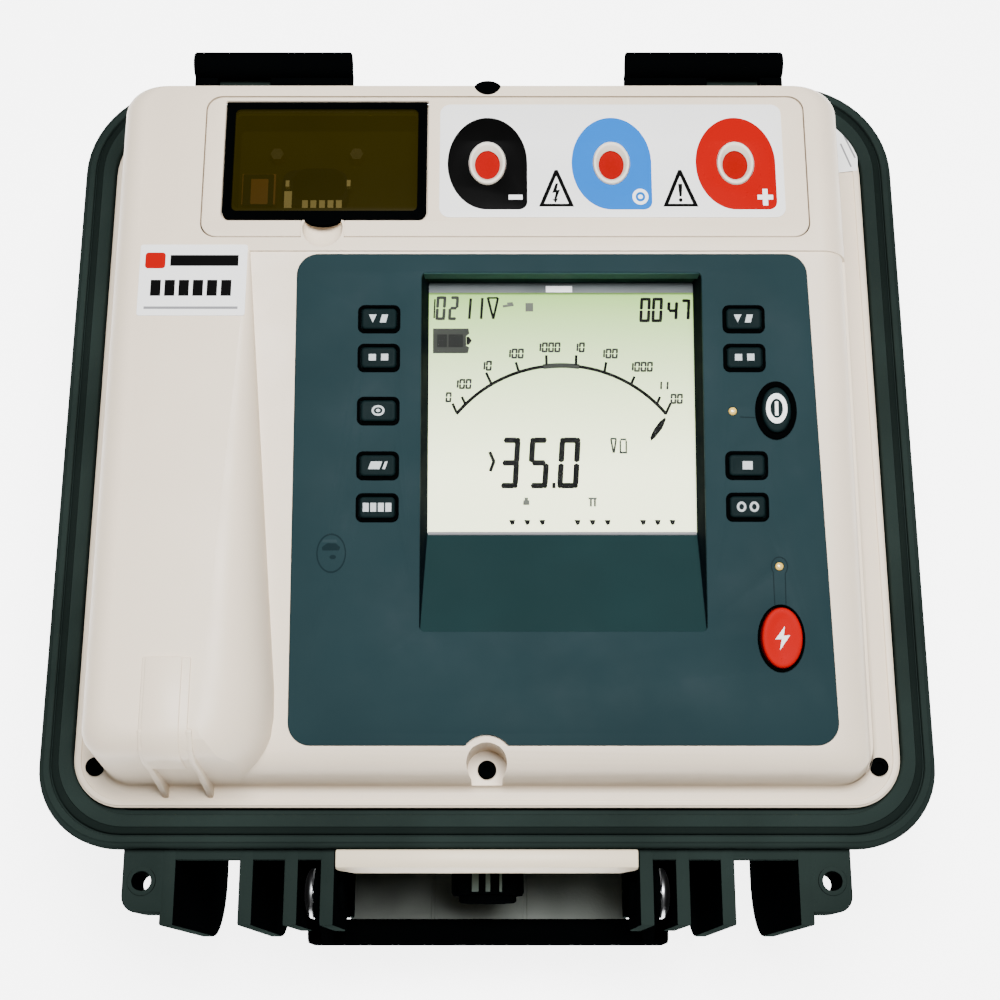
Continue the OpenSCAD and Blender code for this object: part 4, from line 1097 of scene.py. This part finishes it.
def make_front():
    profile = [(-156.2, -3.4), (-157.0, -3.0), (-161.2, -3.0), (-162.6, -3.5), (-163.3, -4.8),
               (-163.5, -6.5), (-163.5, -20.6), (-162.6, -21.6), (-160.6, -23.8), (-160.0, -24.0),
               (-156.2, -24.0)]
    trim = bevelled(side_prism(profile, -55, 55), 0.6, 2, 50)
    for vertex in trim.vertices:
        vertex.co.x *= 1 - 0.1 * min(1, max(0, (-5 - vertex.co.z) / 17))
    add_object("front_trim_bar", shade(trim, 35), CASE, "cream_trim",
               replaces=("front_trim",))
    body = turned([(4.05, 149.2), (4.05, 159.0), (12.6, 159.0), (13.3, 158.6), (13.5, 157.9), (13.5, 155.6),
                   (13.1, 155.0), (9.0, 154.8), (9.0, 143.2), (4.0, 143.2)], 64, "-Y")
    moved(body, z=VALVE_Z)
    add_object("valve_body_turning", shade(body, 40), CASE, "black",
               replaces=("valve_body",))
    knob = turned([(4.0, 150.0), (4.0, 159.4), (13.4, 159.4), (14.0, 160.0), (14.0, 169.4), (13.4, 170.3),
                   (11.2, 170.4), (11.0, 171.0), (11.0, 172.4), (10.4, 173.0), (4.0, 173.0), (0.3, 172.8)],
                  72, "-Y")
    flutes = []
    for k in range(12):
        tool = turned([(2.4, 158.0), (2.4, 174.0)], 20, "-Y")
        angle = 2 * pi * k / 12
        tool.transform(Matrix.Translation((15.2 * cos(angle), 0, 15.2 * sin(angle))))
        flutes.append(tool)
    knob = cut(knob, *flutes)
    moved(knob, z=VALVE_Z)
    add_object("valve_knob_turning", shade(knob, 35), CASE, "bezel", "valve",
               replaces=("valve_knob",))
    # three lighter bars across the knob's top stand for its lit flutes: painted highlight
    ribs = [bevelled(box_mesh(x - w / 2, x + w / 2, -169.6, -160.6, VALVE_Z + 12.2, VALVE_Z + 14.0), 0.25, 2)
            for x, w in ((-4.6, 2.6), (0.2, 1.8), (5.0, 1.0))]
    add_object("valve_knob_ribs", joined(*ribs), CASE, "case_edge", "valve")


def make_handle():
    y, z = PIVOT
    arms = []
    for side in (-1, 1):
        eye = [(10 * cosd(a), 10 * sind(a)) for a in range(0, 181, 10)]
        points = eye + [(-10, -8), (-13.2, -17), (-17.3, -26), (-17.3, -62), (-7.3, -62), (-7.3, -30),
                        (-2.0, -22), (4, -16), (10, -8)]
        points = [(y + py, z + pz) for py, pz in points]
        arm = side_prism(points, *sorted((side * 61.2, side * 64.0)))
        hole = moved(turned([(3.05, 60), (3.05, 69)] if side > 0 else [(3.05, -69), (3.05, -60)], 32, "X"),
                     0, y, z)
        arms.append(cut(bevelled(arm, 0.8, 3, 40), hole))
    bar_y, bar_z = y - 12.3, z - 55.5
    section = []
    for a in range(0, 360, 15):
        lift = 6.5 if 0 <= a < 180 else -6.5
        section.append((5.0 * cosd(a), lift + 5.0 * sind(a)))
    ends = ((-71.9, 0.78), (-71.6, 0.90), (-70.6, 0.98), (-69.2, 1.0), (69.2, 1.0), (70.6, 0.98),
            (71.6, 0.90), (71.9, 0.78))
    skin = [[(x, bar_y + p * scale, bar_z + q * scale) for p, q in section] for x, scale in ends]
    add_object("carry_handle_moulding", shade(joined(*arms, loft(skin)), 40), CASE, "bezel",
               "handle", replaces=("carry_handle",))
    domes = []
    heads = []
    dome = [(9.2 * cosd(a), 65.2 + 2.9 * sind(a)) for a in range(0, 90, 9)]
    for side in (-1, 1):
        stack = [(3.0, 55.2), (3.0, 64.6), (9.2, 64.6), *dome, (0.3, 68.1)]
        head = [(0.3, 53.4), (4.6, 53.4), (5.3, 53.7), (5.5, 54.2), (5.5, 55.4), (3.0, 55.45)]
        for profile, pieces in ((stack, domes), (head, heads)):
            pieces.append(moved(turned([(r, side * h) for r, h in profile], 40, "X"), 0, y, z))
    for name, pieces, material in (("handle_pin_domes", domes, "steel"),
                                   ("handle_pin_heads", heads, "bezel")):
        add_object(name, shade(joined(*pieces), 40), CASE, material, replaces=("handle_pins",)
                   if material == "steel" else ())


def make_hinges():
    y, z = KNUCKLE
    pieces = []
    for side in (-1, 1):
        profile = [(2.6, 57.0), (5.0, 57.0), (5.6, 57.6), (5.6, 121.9), (5.0, 122.5), (2.6, 122.5)]
        rings = [[(side * h, y + r * cos(2 * pi * i / 48), z + r * sin(2 * pi * i / 48)) for i in range(48)]
                 for r, h in profile]
        pieces.append(loft([*rings, rings[0]], close_first=False, close_last=False))
        for start, end in ((57, 91), (113, 122.5)):
            web = box_mesh(*sorted((side * start, side * end)), 156.05, 165.2, -9.5, -1.0)
            bore = moved(turned([(4.6, -140), (4.6, 140)], 32, "X"), 0, y, z)
            pieces.append(cut(bevelled(web, 0.5, 2), bore))
    webs = [bevelled(box_mesh(*sorted((side * 90, side * 114)), 155.6, 165.2, -9.5, -6.5), 0.3, 2)
            for side in (-1, 1)]
    add_object("hinge_low_webs", joined(*webs), CASE, "case")
    add_object("hinge_knuckle_mouldings", shade(joined(*pieces), 35), CASE, "bezel",
               replaces=("hinge_knuckles",))


def make_screws():
    heads = []
    for x, y in SCREWS:
        head = turned([(1.9, -17), (1.9, -2.0), (3.3, -1.95), (3.4, -1.7), (3.4, -0.3), (3.1, 0.25),
                       (2.5, 0.45), (0.3, 0.45)], 32)
        socket = turned([(1.6, -0.8), (1.6, 2)], 6)
        heads.append(moved(cut(head, socket), x, y))
    cap = turned([(0.3, 40.5), (5.55, 40.5), (5.55, 43.7), (5.2, 44.0), (0.3, 44.0)], 32)
    cap.transform(Matrix.Diagonal((1, 0.68, 1, 1)))
    heads.append(moved(cap, 0, 127.6))
    add_object("panel_screw_heads", shade(joined(*heads), 35), CASE, "bezel",
               replaces=("panel_screws",))


def make_feet():
    pads = []
    for x in (-115, 115):
        for y in (-105, 105):
            base = -FLANGE_TOP * 1000
            pad = turned([(0.4, base), (9.6, base), (10.6, base + 0.5), (11, base + 1.2), (11, base + 2.7),
                          (10.8, base + 2.95), (0.4, base + 2.95)], 48)
            pads.append(moved(pad, x, y))
    add_object("rubber_feet_pads", shade(joined(*pads), 40), CASE, "rubber",
               replaces=("rubber_feet",))


def make_labels():
    z = STRIP_H + 0.3
    back = plate(outline(-128.5, -88.8, 31.4, 59.9, 1), [], STRIP_H + 0.02, z, 0.08)
    add_object("name_label_film", back, CASE, "label", replaces=("name_label",))
    red = [prism(outline(-126.5, -119.0, 50.2, 56.6, 1.2), z, z + 0.08)]
    add_object("name_label_block", joined(*red), CASE, "print_red")
    bars = [prism([(-117.2, 51.2), (-92, 51.2), (-92, 55.6), (-117.2, 55.6)], z, z + 0.08)]
    bars += [prism([(-124 + 5.2 * i, 39.2), (-120.2 + 5.2 * i, 39.2), (-120.2 + 5.2 * i, 45.6),
                    (-124 + 5.2 * i, 45.6)], z, z + 0.08) for i in range(6)]
    add_object("name_label_bars", joined(*bars), CASE, "print_black")
    fine = [prism([(-126, 34.0), (-91.5, 34.0), (-91.5, 35.0), (-126, 35.0)], z, z + 0.06)]
    add_object("name_label_rule", joined(*fine), CASE, "print_grey")


def make_internals():
    """Hidden CAD solids keep their own shape and only get a material."""
    plan = {"screw_inserts": "brass", "terminal_block": "potting", "socket_contacts": "brass",
            "terminal_leads": "lead", "terminal_shutter": "red_disc", "port_tray": "tray",
            "data_port": "orange", "serial_port": "black", "port_jackscrews": "gold", "cover_pin": "steel",
            "display_window": "window", "lcd_backlight": "backlight", "control_board": "board",
            "key_switches": "black", "main_board": "board", "board_posts": "steel",
            "battery_pack": "battery", "battery_strap": "steel", "power_supply": "supply",
            "hv_module": "potting"}
    for name, material in plan.items():
        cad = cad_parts[name]
        cad.data.materials.clear()
        cad.data.materials.append(MAT[material])
    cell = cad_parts["lcd_cell"]
    low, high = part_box("lcd_cell")
    cell.data.materials.clear()
    cell.data.materials.append(gradient_material("lcd_field", (0.93, 1.0, 0.66), (0.20, 0.39, 0.08),
                                                 low.y + 0.025, high.y - 0.002, 0.45, 1.2))


# ---- scene ----

def area_light(name, place, aim, size, power, colour=(1, 1, 1)):
    data = bpy.data.lights.new(name, "AREA")
    data.shape = "RECTANGLE"
    data.size, data.size_y = size
    data.energy = power
    data.color = colour
    light = placed(name, data)
    light.location = place
    light.rotation_euler = (Vector(aim) - Vector(place)).to_track_quat("-Z", "Y").to_euler()


def make_stage():
    floor = placed("floor", prism(outline(-3, 3, -3, 3, 0.5), -0.02, 0.0))
    material = new_material("floor_paper", (0.90, 0.90, 0.90), 0.8, specular=0.1)
    add_bump(material, 60, 0.05, 0.0005)
    place = node(material, "ShaderNodeTexCoord")
    reach = node(material, "ShaderNodeVectorMath", operation="LENGTH")
    fade = node(material, "ShaderNodeMapRange", From_Min=0.45, From_Max=1.6, To_Min=FLOOR_GLOW, To_Max=0.6)
    link(material, place.outputs["Object"], reach.inputs[0])
    link(material, reach.outputs["Value"], fade.inputs["Value"])
    shader = material.node_tree.nodes["Principled BSDF"]
    shader.inputs["Emission Color"].default_value = (1, 1, 1, 1)
    link(material, fade.outputs["Result"], shader.inputs["Emission Strength"])
    floor.data.materials.append(material)
    world = bpy.data.worlds.new("studio")
    world.use_nodes = True
    world.node_tree.nodes["Background"].inputs["Color"].default_value = (1, 1, 1, 1)
    world.node_tree.nodes["Background"].inputs["Strength"].default_value = 0.10
    bpy.context.scene.world = world
    area_light("overhead_light", (0.06, 0.03, 1.02), (0.04, -0.01, 0.15), (0.45, 0.3), 23)


def make_camera():
    camera_over_flange = 0.6045
    camera_ahead_of_front = 0.050
    camera_x = 0.00475
    data = bpy.data.cameras.new("camera")
    data.lens = 59.08
    data.sensor_width = 36
    camera = placed("camera", data)
    camera.location = (camera_x, CASE_Y - HALF_D / 1000 - camera_ahead_of_front,
                       FLANGE_TOP + camera_over_flange)
    camera.rotation_euler = (radians(16.7), 0, 0)
    bpy.context.scene.camera = camera


make_camera()
make_stage()
make_case()
make_seal()
make_fascia()
make_terminal_plate()
make_terminals()
make_port_cover()
make_overlay()
make_surround()
make_display()
make_keys()
make_ovals()
make_leds()
make_front()
make_handle()
make_hinges()
make_screws()
make_feet()
make_labels()
make_internals()
